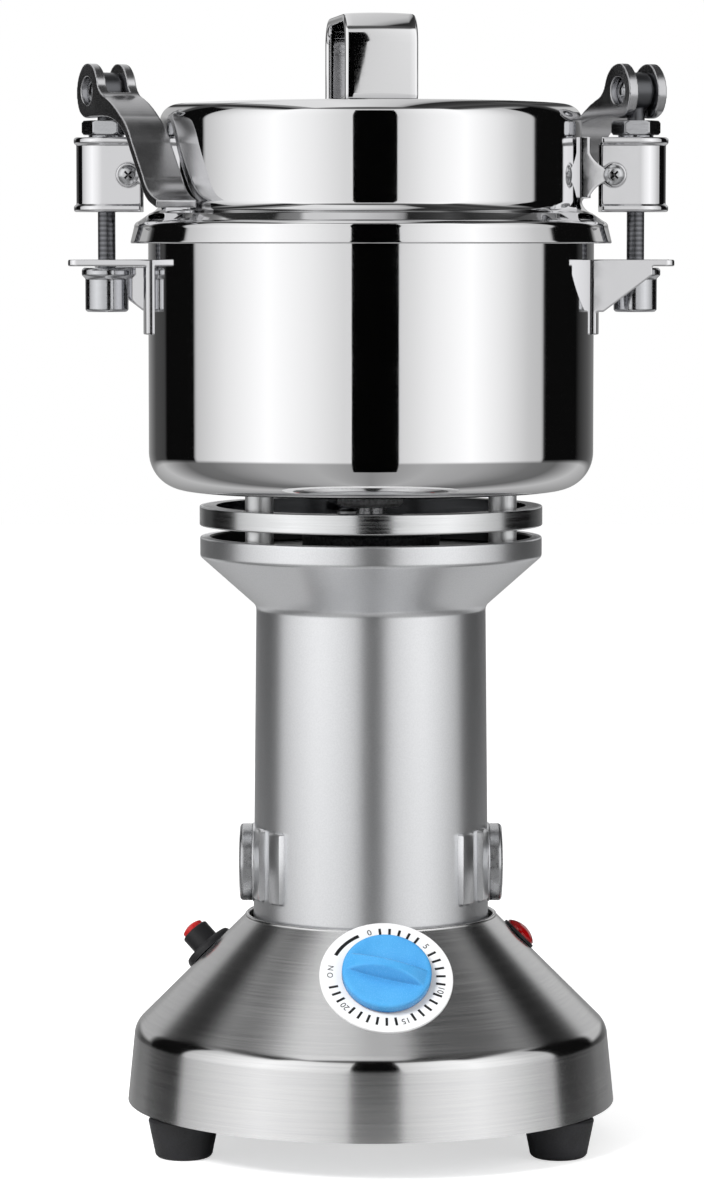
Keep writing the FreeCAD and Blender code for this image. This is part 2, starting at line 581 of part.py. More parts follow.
    boss_top = "lower_bearing_bottom + lower_bearing_height + shield_lip"
    shield = turned("lower_end_shield", [
        ("shaft_lower_radius + shaft_gap", "lower_bearing_bottom - shield_boss_depth"),
        ("shield_boss_radius", "lower_bearing_bottom - shield_boss_depth"),
        ("shield_boss_radius", "housing_bottom - shield_thickness"),
        ("housing_bottom_radius - shield_inset", "housing_bottom - shield_thickness"),
        ("housing_bottom_radius - shield_inset", "housing_bottom"),
        ("housing_bore - fit_gap", "housing_bottom"),
        ("housing_bore - fit_gap", "housing_bottom + spigot_height"),
        ("housing_bore - spigot_wall", "housing_bottom + spigot_height"),
        ("housing_bore - spigot_wall", "housing_bottom"), ("shield_boss_radius", "housing_bottom"),
        ("shield_boss_radius", boss_top), ("lower_bearing_radius + fit_gap", boss_top),
        ("lower_bearing_radius + fit_gap", "lower_bearing_bottom"),
        ("shaft_lower_radius + shaft_gap", "lower_bearing_bottom")])
    padded("shield_windows", "3 * shield_thickness", circles=[
        ("shield_window_circle", "0", "shield_window")],
        out="housing_bottom - 2 * shield_thickness", body=shield, pocket=True, reverse=True)
    in_circle(shield, "6")
    node("lower_end_shield", shield)

    def bearing(label, bore_radius, outer, bottom, height):
        edge = "bearing_edge"
        top = "%s + %s" % (bottom, height)
        return turned(label, [
            (bore_radius, bottom), (outer + " - " + edge, bottom), (outer, bottom + " + " + edge),
            (outer, top + " - " + edge), (outer + " - " + edge, top), (bore_radius, top)])
    node("motor_bearings", group(
        "motor_bearings",
        bearing("lower_bearing", "shaft_lower_radius + running_gap", "lower_bearing_radius",
                "lower_bearing_bottom", "lower_bearing_height"),
        bearing("upper_bearing", "shaft_radius + running_gap", "upper_bearing_radius",
                "upper_bearing_bottom", "upper_bearing_height")))


def across_x(item, start):
    """Lays an upright piece along +X, its foot at this distance from the axis."""
    item.Placement = FreeCAD.Placement(
        FreeCAD.Vector(start, 0, value("brush_height")), FreeCAD.Rotation(FreeCAD.Vector(0, 1, 0), 90))
    return item


def mirrored_pair(label, make):
    """A piece on the +X side and its half-turn copy on the -X side, as one node."""
    pieces = []
    for degrees in (0, 180):
        item = make("%s_%d" % (label, degrees))
        swing = FreeCAD.Placement(FreeCAD.Vector(), FreeCAD.Rotation(FreeCAD.Vector(0, 0, 1), degrees))
        item.Placement = swing.multiply(item.Placement)
        pieces.append(item)
    return group(label, *pieces)


def brush_parts():
    def cap(label):
        return across_x(turned(label, [
            ("0", "holder_rim - cap_plug"), ("holder_flange", "holder_rim - cap_plug"),
            ("holder_flange", "0"),
            ("cap_radius", "0"), ("cap_radius", "cap_thickness - cap_edge"),
            ("cap_radius - cap_edge", "cap_thickness", "left", "cap_edge"),
            ("0", "cap_thickness")]), value("cap_seat"))

    def holder(label):
        tube = turned(label + "_tube", [
            ("0", "holder_end"), ("holder_radius", "holder_end"),
            ("holder_radius", "cap_seat - cap_plug"), ("holder_flange", "cap_seat - cap_plug"),
            ("holder_flange", "cap_seat - cap_plug + holder_rim"),
            ("0", "cap_seat - cap_plug + holder_rim")])
        slot = box(label + "_slot", ("brush_width + 2 * fit_gap", "brush_width + 2 * fit_gap",
                                     "cap_seat"),
                   ("0 - brush_width / 2 - fit_gap", "0 - brush_width / 2 - fit_gap", "overcut"))
        return across_x(cut(label, tube, slot), 0)

    def carbon(label):
        half = -value("brush_width / 2")
        item = box(label, ("brush_width", "brush_width", "brush_length"), (0, 0, 0))
        return slide(across_x(item, value("commutator_radius + moving_gap")), half, half)

    def spring(label):
        """A coil of half turns from the carbon's back to the cap."""
        start = value("commutator_radius + moving_gap + brush_length + spring_wire + fit_gap")
        end = value("cap_seat - cap_plug + holder_rim - spring_wire - fit_gap")
        helix = Part.makeHelix((end - start) / value("spring_turns"), end - start,
                               value("spring_radius"))
        ring = Part.Wire(Part.makeCircle(
            value("spring_wire"), FreeCAD.Vector(value("spring_radius"), 0, 0),
            FreeCAD.Vector(0, 1, 0)))
        item = doc.addObject("Part::Feature", label)
        item.Shape = Part.Wire(helix).makePipeShell([ring], True, False)
        return across_x(item, start)

    node("brush_caps", mirrored_pair("brush_caps", cap))
    node("brush_holders", mirrored_pair("brush_holders", holder))
    node("carbon_brushes", mirrored_pair("carbon_brushes", carbon))
    node("brush_springs", mirrored_pair("brush_springs", spring))


# Universal motor: field, armature, fan and shaft

def motor_parts():
    top = "core_bottom + core_height"
    ring = cut("core_ring", cylinder("core_outer", "core_radius", "core_height", (0, 0, "core_bottom")),
               cylinder("core_inner", "core_back", "core_height + 2 * overcut",
                        (0, 0, "core_bottom - overcut")))
    poles = box("core_poles", ("pole_width", "2 * (core_back + overcut)", "core_height"),
                ("0 - pole_width / 2", "0 - core_back - overcut", "core_bottom"))
    face = "armature_radius + air_gap"
    bore = cylinder("pole_bore", face, "core_height + 2 * overcut",
                        (0, 0, "core_bottom - overcut"))
    node("stator_core", cut("stator_core", fuse("core_body", ring, poles), bore))

    coils = []
    for hand in (1, -1):
        name = "field_coil_%s" % ("back" if hand > 0 else "front")
        depth = "(armature_radius + air_gap + coil_inset)"
        low = depth if hand > 0 else "0 - %s - coil_wall" % depth
        outer = box(name + "_outer", ("pole_width + 2 * coil_wall", "coil_wall",
                                      "core_height + 2 * coil_height"),
                    ("0 - pole_width / 2 - coil_wall", low, "core_bottom - coil_height"))
        inner = box(name + "_inner", ("pole_width + 2 * fit_gap", "coil_wall + 2 * overcut",
                                      "core_height + 2 * fit_gap"),
                    ("0 - pole_width / 2 - fit_gap", low + " - overcut", "core_bottom - fit_gap"))
        coils.append(cut(name, outer, inner))
    node("field_coils", group("field_coils", *coils))

    core = padded("armature_core", "core_height", circles=[
        ("0", "0", "armature_radius"), ("0", "0", "shaft_radius + fit_gap")], out="core_bottom")
    half = "slot_width / 2"
    padded("slots", "core_height + 2 * overcut", [
        ("armature_radius + overcut", "0 - " + half), ("armature_radius + overcut", half),
        ("armature_radius - slot_depth", half), ("armature_radius - slot_depth", "0 - " + half)],
        out="core_bottom - overcut", body=core, pocket=True, reverse=True)
    in_circle(core, "slot_count")
    node("armature_core", core)

    def bundle(label, low, high):
        return turned(label, [
            ("winding_bore", low), ("winding_radius - winding_round", low),
            ("winding_radius", low + " + winding_round", "left", "winding_round"),
            ("winding_radius", high + " - winding_round"),
            ("winding_radius - winding_round", high, "left", "winding_round"), ("winding_bore", high)])
    node("armature_windings", group(
        "armature_windings",
        bundle("lower_bundle", "core_bottom - winding_height", "core_bottom"),
        bundle("upper_bundle", top, top + " + winding_height")))

    commutator = padded("commutator", "commutator_height", circles=[
        ("0", "0", "commutator_radius"), ("0", "0", "shaft_radius + fit_gap")],
        out="commutator_bottom")
    half = "bar_gap / 2"
    padded("bar_gaps", "commutator_height + 2 * overcut", [
        ("commutator_radius + overcut", "0 - " + half), ("commutator_radius + overcut", half),
        ("commutator_radius - bar_gap_depth", half), ("commutator_radius - bar_gap_depth", "0 - " + half)],
        out="commutator_bottom - overcut", body=commutator, pocket=True, reverse=True)
    in_circle(commutator, "slot_count * 2")
    node("commutator", commutator)

    fan = turned("fan_disc_body", [
        ("shaft_radius + fit_gap", "fan_bottom"), ("fan_radius", "fan_bottom"),
        ("fan_radius", "fan_bottom + fan_disc"), ("fan_hub", "fan_bottom + fan_disc"),
        ("fan_hub", "fan_bottom + fan_height"), ("shaft_radius + fit_gap", "fan_bottom + fan_height")])
    blades = padded("fan_vanes", "fan_height", [
        ("fan_radius - fan_rim", "0 - fan_blade_wall / 2"), ("fan_radius - fan_rim", "fan_blade_wall / 2"),
        ("fan_hub - overcut", "fan_lean + fan_blade_wall / 2"),
        ("fan_hub - overcut", "fan_lean - fan_blade_wall / 2")],
        out="fan_bottom")
    in_circle(blades, "fan_blades")
    node("cooling_fan", fuse("cooling_fan", fan, blades))

    collar = "hub_top + hub_clearance"
    nut_seat = "blade_seat + 2 * blade_step + blade_thickness"
    node("motor_shaft", turned("motor_shaft", [
        ("0", "shaft_bottom"), ("shaft_lower_radius", "shaft_bottom"),
        ("shaft_lower_radius", "commutator_bottom - journal_inset"),
        ("shaft_radius", "commutator_bottom - journal_inset"),
        ("shaft_radius", collar), ("blade_seat_radius", collar), ("blade_seat_radius", "blade_seat"),
        ("blade_bore - running_gap", "blade_seat"),
        ("blade_bore - running_gap", nut_seat + " + blade_nut_height - thread_inset"),
        ("0", nut_seat + " + blade_nut_height - thread_inset")]))


# Base electrics: timer, reset breaker, lamp and cord gland

def electric_parts():
    dial_place = (value("dial_turn"), value("dial_height"))
    dial_top = "dial_standoff + dial_thickness"
    node("dial_plate", on_cone(turned("dial_plate", [
        ("timer_collar + fit_gap", "dial_standoff"), ("dial_radius", "dial_standoff"),
        ("dial_radius", dial_top + " - dial_step"),
        ("dial_radius - dial_step", dial_top, "left", "dial_step"),
        ("timer_collar + fit_gap", dial_top)]), *dial_place))

    def flat_top(width, height):
        """How far under the skin a flat square top clears the curve of the cone."""
        narrowest = "%s / %s * %s" % (CONE_SLANT, CONE_RISE, cone_radius("%s + %s / 2" % (height, width)))
        return "shell_wall + fit_gap + %s * %s / (8 * %s)" % (width, width, narrowest)

    inside = flat_top("timer_width", "dial_height")
    case = box("timer_case", ("timer_width", "timer_width", "timer_depth"),
               ("0 - timer_width / 2", "0 - timer_width / 2", "0 - timer_depth - (%s)" % inside))
    neck = cylinder("timer_neck", "timer_collar", "timer_collar_height + " + inside,
                    (0, 0, "0 - (%s)" % inside))
    bore = cylinder("timer_bore", "timer_shaft + running_gap", "timer_depth",
                    (0, 0, "0 - timer_depth + timer_collar_height + overcut"))
    node("timer_body", on_cone(cut("timer_body", fuse("timer_solid", case, neck), bore), *dial_place))

    floor = dial_top + " + moving_gap"
    knob_top = floor + " + knob_height"
    rim = "(knob_radius - knob_rim)"
    disc_top = floor + " + knob_disc"
    disc = turned("knob_disc", [
        ("timer_collar + moving_gap", floor), ("knob_radius - knob_foot", floor),
        ("knob_radius", floor + " + knob_foot", "left", "knob_foot"),
        ("knob_radius", disc_top + " - knob_edge"),
        ("knob_radius - knob_edge", disc_top, "left", "knob_edge"), (rim, disc_top),
        ("0", disc_top + " - knob_dish", "right", dome(rim, "knob_dish")),
        ("0", "timer_collar_height + moving_gap"),
        ("timer_collar + moving_gap", "timer_collar_height + moving_gap")])
    grip_low = "timer_collar_height + moving_gap"
    arch = padded("grip_arch", "2 * knob_radius", [
        ("0 - " + rim, grip_low), (rim, grip_low), (rim, disc_top),
        ("0 - " + rim, disc_top, "left", dome(rim, "knob_height - knob_disc"))],
        plane="XZ", midplane=True)
    wedge = padded("grip_wedge", "2 * knob_radius", [
        ("0 - grip_foot", grip_low), ("grip_foot", grip_low), ("grip_foot", disc_top + " - knob_dish"),
        ("grip_crest", knob_top), ("0 - grip_crest", knob_top),
        ("0 - grip_foot", disc_top + " - knob_dish")], plane="YZ", midplane=True)
    blade = common("knob_grip_sharp", arch, wedge)
    grip = doc.addObject("Part::Fillet", "knob_grip")
    grip.Base = blade
    doc.recompute()
    crest = value(knob_top + " - grip_round")
    grip.Edges = [(number, value("grip_round"), value("grip_round"))
                  for number, edge in enumerate(blade.Shape.Edges, start=1)
                  if edge.BoundBox.ZMax > crest]
    bore_end = "timer_collar + moving_gap"
    well = cylinder("knob_well", bore_end, "timer_collar_height + moving_gap")
    knob = cut("timer_knob_solid", fuse("knob_body", disc, grip), well)
    knob.Placement.Rotation = FreeCAD.Rotation(FreeCAD.Vector(0, 0, 1), value("grip_angle"))
    socket = cylinder("knob_socket", "timer_shaft + fit_gap",
                      "%s - knob_socket_roof" % knob_top)
    node("timer_knob", on_cone(cut("timer_knob", knob, socket), *dial_place))
    node("timer_shaft", on_cone(
        cylinder("timer_shaft", "timer_shaft",
                 "%s - knob_socket_roof - fit_gap + timer_shaft_depth" % knob_top),
        *dial_place, -value("timer_shaft_depth")))

    reset_place = (-value("reset_turn"), value("reset_height"))
    barrel_top = "reset_washer_height + reset_barrel_height"
    node("reset_collar", on_cone(turned("reset_collar", [
        ("reset_button + moving_gap", "0"), ("reset_washer", "0"),
        ("reset_washer - reset_edge", "reset_washer_height"), ("reset_barrel", "reset_washer_height"),
        ("reset_barrel", barrel_top + " - reset_edge"),
        ("reset_barrel - reset_edge", barrel_top, "left", "reset_edge"),
        ("reset_button + moving_gap", barrel_top)]), *reset_place))
    inside = flat_top("breaker_width", "reset_height")
    breaker = box("breaker_case", ("breaker_width", "breaker_width", "breaker_depth"),
                  ("0 - breaker_width / 2", "0 - breaker_width / 2",
                   "0 - breaker_depth - (%s)" % inside))
    breaker_neck = cylinder("breaker_neck", "reset_barrel", inside, (0, 0, "0 - (%s)" % inside))
    pocket = cylinder("breaker_pocket", "reset_button + moving_gap", "2 * (reset_travel + breaker_well)",
                      (0, 0, "0 - reset_travel - breaker_well"))
    node("breaker_body", on_cone(cut("breaker_body", fuse("breaker_solid", breaker, breaker_neck),
                                     pocket), *reset_place))
    crown = barrel_top + " + reset_proud"
    node("reset_button", on_cone(turned("reset_button", [
        ("0", "0 - button_skirt"), ("reset_button", "0 - button_skirt"),
        ("reset_button", crown + " - reset_dome"),
        ("0", crown, "left", dome("reset_button", "reset_dome"))]), *reset_place))

    lamp_place = (value("lamp_turn"), value("lamp_height"))
    node("pilot_lamp_body", on_cone(turned("pilot_lamp_body", [
        ("0", "0 - lamp_depth"), ("lamp_barrel", "0 - lamp_depth"), ("lamp_barrel", "0"),
        ("lamp_rim", "0"), ("lamp_rim", "lamp_rim_height - lamp_edge"),
        ("lamp_rim - lamp_edge", "lamp_rim_height", "left", "lamp_edge"),
        ("0", "lamp_rim_height")]), *lamp_place))
    node("pilot_lamp_lens", on_cone(turned("pilot_lamp_lens", [
        ("0", "lamp_rim_height"), ("lamp_radius", "lamp_rim_height"),
        ("lamp_radius", "lamp_rim_height + lens_foot"),
        ("0", "lamp_rim_height + lamp_dome", "left", dome("lamp_radius", "lamp_dome - lens_foot"))]),
        *lamp_place))

    gland = turned("cord_gland", [
        ("gland_bore", "0 - gland_inside"), ("gland_neck", "0 - gland_inside"), ("gland_neck", "0"),
        ("gland_radius", "0"), ("gland_radius", "gland_reach / 2"),
        ("gland_radius - gland_reach / 2", "gland_reach", "left", "gland_reach / 2"),
        ("gland_bore", "gland_reach")])
    # its collar clears the leaning band at the edge where the band stands out most
    wall = (value("shell_bottom_radius - (gland_height - foot_height) * " + BAND_LEAN)
            + abs(value("gland_radius * " + BAND_LEAN)))
    gland.Placement = FreeCAD.Placement(FreeCAD.Vector(0, wall, value("gland_height")),
                                        FreeCAD.Rotation(FreeCAD.Vector(1, 0, 0), -90))
    node("cord_gland", gland)


# Spacer stack, bowl and the hub in its floor

def bowl_parts():
    ring = padded("spacer_ring", "ring_top - ring_bottom", circles=[
        ("0", "0", "ring_outer"), ("0", "0", "ring_inner")], out="ring_bottom")
    half = "ear_width / 2"
    padded("ring_ears", "ear_thickness", [
        ("0 - " + half, "ring_inner + ring_bite"), ("0 - " + half, "stack_circle"),
        ("0", "stack_circle - " + half, "left", half), (half, "stack_circle", "left", half),
        (half, "ring_inner + ring_bite")], out="ear_bottom", body=ring)
    in_circle(ring, "3")
    padded("ring_bores", "2 * ear_thickness", circles=[("0", "stack_circle", "spacer_bore")],
           out="ear_bottom - overcut", body=ring, pocket=True, reverse=True)
    in_circle(ring, "3")
    bind(ring, "Placement.Rotation.Angle", "stack_turn")
    node("spacer_ring", ring)

    def tube(label, low, high):
        body = padded(label, "%s - (%s)" % (high, low), circles=[
            ("0", "stack_circle", "spacer_radius"), ("0", "stack_circle", "spacer_bore")], out=low)
        in_circle(body, "3")
        bind(body, "Placement.Rotation.Angle", "stack_turn")
        return body
    node("bowl_spacers", group("bowl_spacers", tube("lower_spacers", "recess_floor", "ear_bottom"),
                               tube("upper_spacers", "ear_bottom + ear_thickness", "bowl_bottom")))

    floor = "bowl_bottom + bowl_wall"
    screws = turned("bowl_screws", [
        ("0", "recess_floor - stack_screw_bite + moving_gap"),
        ("stack_screw_radius", "recess_floor - stack_screw_bite + moving_gap"),
        ("stack_screw_radius", floor), ("stack_screw_head", floor),
        ("stack_screw_head", floor + " + stack_screw_head_height - stack_screw_edge"),
        ("stack_screw_head - stack_screw_edge", floor + " + stack_screw_head_height",
         "left", "stack_screw_edge"),
        ("0", floor + " + stack_screw_head_height")], plane="YZ", across="stack_circle")
    in_circle(screws, "3")
    bind(screws, "Placement.Rotation.Angle", "stack_turn")
    node("bowl_screws", screws)

    inner = "bowl_radius - bowl_wall"
    rim = "bowl_flange_height"
    bowl = turned("bowl", [
        ("hub_neck + fit_gap", "bowl_bottom"), ("bowl_radius - bowl_corner", "bowl_bottom"),
        ("bowl_radius", "bowl_bottom + bowl_corner", "left", "bowl_corner"),
        ("bowl_radius", rim + " - bowl_rim_bend"),
        ("bowl_radius + bowl_rim_bend", rim, "right", "bowl_rim_bend"),
        (FLANGE_RADIUS, rim), (FLANGE_RADIUS, rim + " + bowl_wall"),
        (inner + " + bowl_wall + bowl_rim_bend", rim + " + bowl_wall"),
        (inner, rim + " - bowl_rim_bend", "left", "bowl_wall + bowl_rim_bend"),
        (inner, "bowl_bottom + bowl_corner"),
        ("bowl_radius - bowl_corner", floor, "right", "bowl_corner - bowl_wall"),
        ("hub_neck + fit_gap", floor)])
    padded("bowl_bores", "4 * bowl_wall", circles=[("0", "stack_circle", "stack_screw_radius + fit_gap")],
           out="bowl_bottom - overcut", body=bowl, pocket=True, reverse=True)
    in_circle(bowl, "3")
    bind(bowl, "Placement.Rotation.Angle", "stack_turn")
    node("bowl", bowl)

    node("shaft_hub", turned("shaft_hub", [
        ("hub_bore", "hub_bottom"), ("hub_radius - hub_edge", "hub_bottom"),
        ("hub_radius", "hub_bottom + hub_edge"), ("hub_radius", "bowl_bottom"),
        ("hub_neck", "bowl_bottom"), ("hub_neck", "hub_top"), ("hub_bore", "hub_top"),
        ("hub_bore", "seal_top + fit_gap"), ("seal_radius + fit_gap", "seal_top + fit_gap"),
        ("seal_radius + fit_gap", "seal_bottom"), ("hub_bore", "seal_bottom")]))
    node("shaft_seal", turned("shaft_seal", [
        ("shaft_radius + running_gap", "seal_bottom"), ("seal_radius", "seal_bottom"),
        ("seal_radius", "seal_top"), ("shaft_radius + running_gap", "seal_top")]))
    nut = padded("hub_nut", "hub_nut_height", hexagon("2 * hub_nut_radius"), out=floor,
                 circles=[("0", "0", "hub_neck + fit_gap")])
    node("hub_nut", nut)


# Blades on the shaft's end

def blade_parts():
    def plan(label, reach, low, rise):
        """Both arms of one blade, swept back from root to tip."""
        root, tip, sweep = "blade_root", "blade_tip", "blade_sweep"
        body = padded(label, rise, [
            (root, "0", "left", "blade_waist"),
            ("%s - overcut" % reach, "%s * blade_tip_slope" % sweep, "left", "%s * blade_front_bow" % reach),
            ("%s - %s" % (reach, tip), sweep),
            ("0", root, "right", "%s * blade_back_bow" % reach),
            ("0 - " + root, "0", "left", "blade_waist"),
            ("overcut - %s" % reach, "0 - %s * blade_tip_slope" % sweep,
             "left", "%s * blade_front_bow" % reach),
            ("%s - %s" % (tip, reach), "0 - " + sweep),
            ("0", "0 - " + root, "right", "%s * blade_back_bow" % reach)], out=low)
        return body

    def blade(label, reach, level, rise):
        """The plan cut out of a strip whose ends are bent up or down."""
        seat = "blade_seat + %d * blade_step" % level
        low = seat if rise >= 0 else "%s - blade_bend_rise * %s" % (seat, -rise)
        height = "blade_thickness + blade_bend_rise * %s" % abs(rise)
        outline = plan(label + "_plan", reach, low + " - overcut", height + " + 2 * overcut")
        drop = "blade_bend_rise * %s" % rise
        bend = "blade_bend_start"
        strip = padded(label + "_strip", "4 * blade_root", [
            ("0 - " + bend, seat), (bend, seat), (reach, "%s + %s" % (seat, drop)),
            (reach, "%s + %s + blade_thickness" % (seat, drop)), (bend, seat + " + blade_thickness"),
            ("0 - " + bend, seat + " + blade_thickness"),
            ("0 - " + reach, "%s + %s + blade_thickness" % (seat, drop)),
            ("0 - " + reach, "%s + %s" % (seat, drop))], plane="XZ", midplane=True)
        blank = common(label + "_blank", outline, strip)
        solid = doc.addObject("Part::Chamfer", label + "_bevels")
        solid.Base = blank
        doc.recompute()
        curved = [(round(edge.Length), edge.BoundBox.ZMax, number)
                  for number, edge in enumerate(blank.Shape.Edges, start=1)
                  if isinstance(edge.Curve, Part.Ellipse)]
        solid.Edges = [(number, value("blade_bevel_depth"), value("blade_bevel_width"))
                       for _, _, number in sorted(curved)[-2:]]
        bore = cylinder(label + "_bore", "blade_bore + fit_gap / 2", "6 * blade_thickness",
                        (0, 0, seat + " - 2 * blade_thickness"))
        return node(label, cut(label, solid, bore))

    blade("lower_blade", "lower_blade_reach", 0, -0.35)
    middle = blade("middle_blade", "middle_blade_reach", 1, 0.6)
    middle.Placement.Rotation = FreeCAD.Rotation(FreeCAD.Vector(0, 0, 1), 60)
    upper = blade("upper_blade", "upper_blade_reach", 2, 1.6)
    upper.Placement.Rotation = FreeCAD.Rotation(FreeCAD.Vector(0, 0, 1), 120)

    washers = []
    for level in (0, 1):
        low = "blade_seat + %d * blade_step + blade_thickness" % level
        washers.append(padded("blade_spacer_%d" % level, "blade_step - blade_thickness", circles=[
            ("0", "0", "blade_seat_radius"), ("0", "0", "blade_bore + fit_gap / 2")], out=low))
    node("blade_spacers", group("blade_spacers", *washers))

    low = "blade_seat + 2 * blade_step + blade_thickness"
    prism = padded("nut_prism", "blade_nut_height", hexagon("blade_nut_width"), out=low)
    corner = "blade_nut_width / 1.7320508"
    crown = turned("nut_crown", [
        ("0", low), (corner, low), (corner, low + " + blade_nut_shoulder"),
        ("blade_nut_face", low + " + blade_nut_height - blade_nut_dome"),
        ("0", low + " + blade_nut_height", "left", dome("blade_nut_face", "blade_nut_dome"))])
    thread = cylinder("nut_thread", "blade_bore", "blade_nut_height - thread_inset + 2 * fit_gap",
                      (0, 0, low))
    node("blade_nut", cut("blade_nut", common("nut_solid", prism, crown), thread))


# Lid with its gasket and handle

def lid_parts():
    wall = "lid_wall"
    skirt_inner = FLANGE_RADIUS + " + skirt_gap"
    skirt_head = skirt_inner + " + lid_wall - skirt_lean"
    lid = turned("lid", [
        (skirt_inner, "skirt_bottom"), (skirt_inner + " + lid_wall", "skirt_bottom"),
        (skirt_head + " + skirt_bend_out", "skirt_top - skirt_bend_foot"),
        (skirt_head + " - skirt_bend_in", "skirt_top + skirt_bend_head", "left", "skirt_bend"),
        ("shoulder_radius", "shoulder_top"), ("lid_radius", "plug_bottom", "right", "plug_turn"),
        ("lid_radius", "lid_top - lid_corner"),
        ("lid_radius - lid_corner", "lid_top", "left", "lid_corner"), ("0", "lid_top"),
        ("0", "lid_top - " + wall), ("lid_radius - lid_corner", "lid_top - " + wall),
        ("lid_radius - " + wall, "lid_top - lid_corner", "right", "lid_corner - " + wall),
        ("lid_radius - " + wall, "plug_bottom - plug_crease"),
        ("shoulder_radius - shoulder_inset", "shoulder_top - " + wall, "left", "plug_turn + " + wall),
        (skirt_head + " - skirt_bend_in - " + wall, "skirt_top - skirt_crease_head"),
        (skirt_head + " - skirt_crease_in", "skirt_top - skirt_crease_foot"),
    ])
    node("lid", lid)
    flange_top = "bowl_flange_height + bowl_wall + moving_gap"
    node("lid_gasket", turned("lid_gasket", [
        ("gasket_inner", flange_top), ("gasket_outer - gasket_edge", flange_top),
        ("gasket_outer", flange_top + " + gasket_edge"), ("gasket_outer - gasket_edge", "gasket_side"),
        ("shoulder_radius - shoulder_inset", "gasket_top"), ("gasket_inner", "gasket_top")]))

    half, foot, strap, bend = "handle_span / 2", "handle_foot", "handle_strap", "handle_bend"
    low, high, turn_up = "lid_top", "handle_top", "handle_foot_turn"
    handle = padded("lid_handle", "handle_width", [
        ("%s - %s" % (foot, half), low), ("%s - %s" % (turn_up, half), low),
        ("0 - " + half, "%s + %s" % (low, turn_up), "right", turn_up),
        ("0 - " + half, "%s - %s" % (high, bend)),
        ("%s - %s" % (bend, half), high, "right", bend), ("%s - %s" % (half, bend), high),
        (half, "%s - %s" % (high, bend), "right", bend), (half, "%s + %s" % (low, turn_up)),
        ("%s - %s" % (half, turn_up), low, "right", turn_up), ("%s - %s" % (half, foot), low),
        ("%s - %s" % (half, foot), "%s + %s" % (low, strap)),
        ("%s - %s - handle_crease" % (half, strap), "%s + %s" % (low, strap)),
        ("%s - %s" % (half, strap), "%s + %s + handle_crease" % (low, strap), "right", "handle_crease"),
        ("%s - %s" % (half, strap), "%s - %s" % (high, bend)),
        ("%s - %s" % (half, bend), "%s - %s" % (high, strap), "left", "%s - %s" % (bend, strap)),
        ("%s - %s" % (bend, half), "%s - %s" % (high, strap)),
        ("%s - %s" % (strap, half), "%s - %s" % (high, bend), "left", "%s - %s" % (bend, strap)),
        ("%s - %s" % (strap, half), "%s + %s + handle_crease" % (low, strap)),
        ("%s - %s + handle_crease" % (strap, half), "%s + %s" % (low, strap), "right", "handle_crease"),
        ("%s - %s" % (foot, half), "%s + %s" % (low, strap))], plane="YZ", midplane=True)
    bind(handle, "Placement.Rotation.Angle", "handle_turn")
    node("lid_handle", handle)


# Lid clamps, drawn at +X and swung half a turn for the one at -X

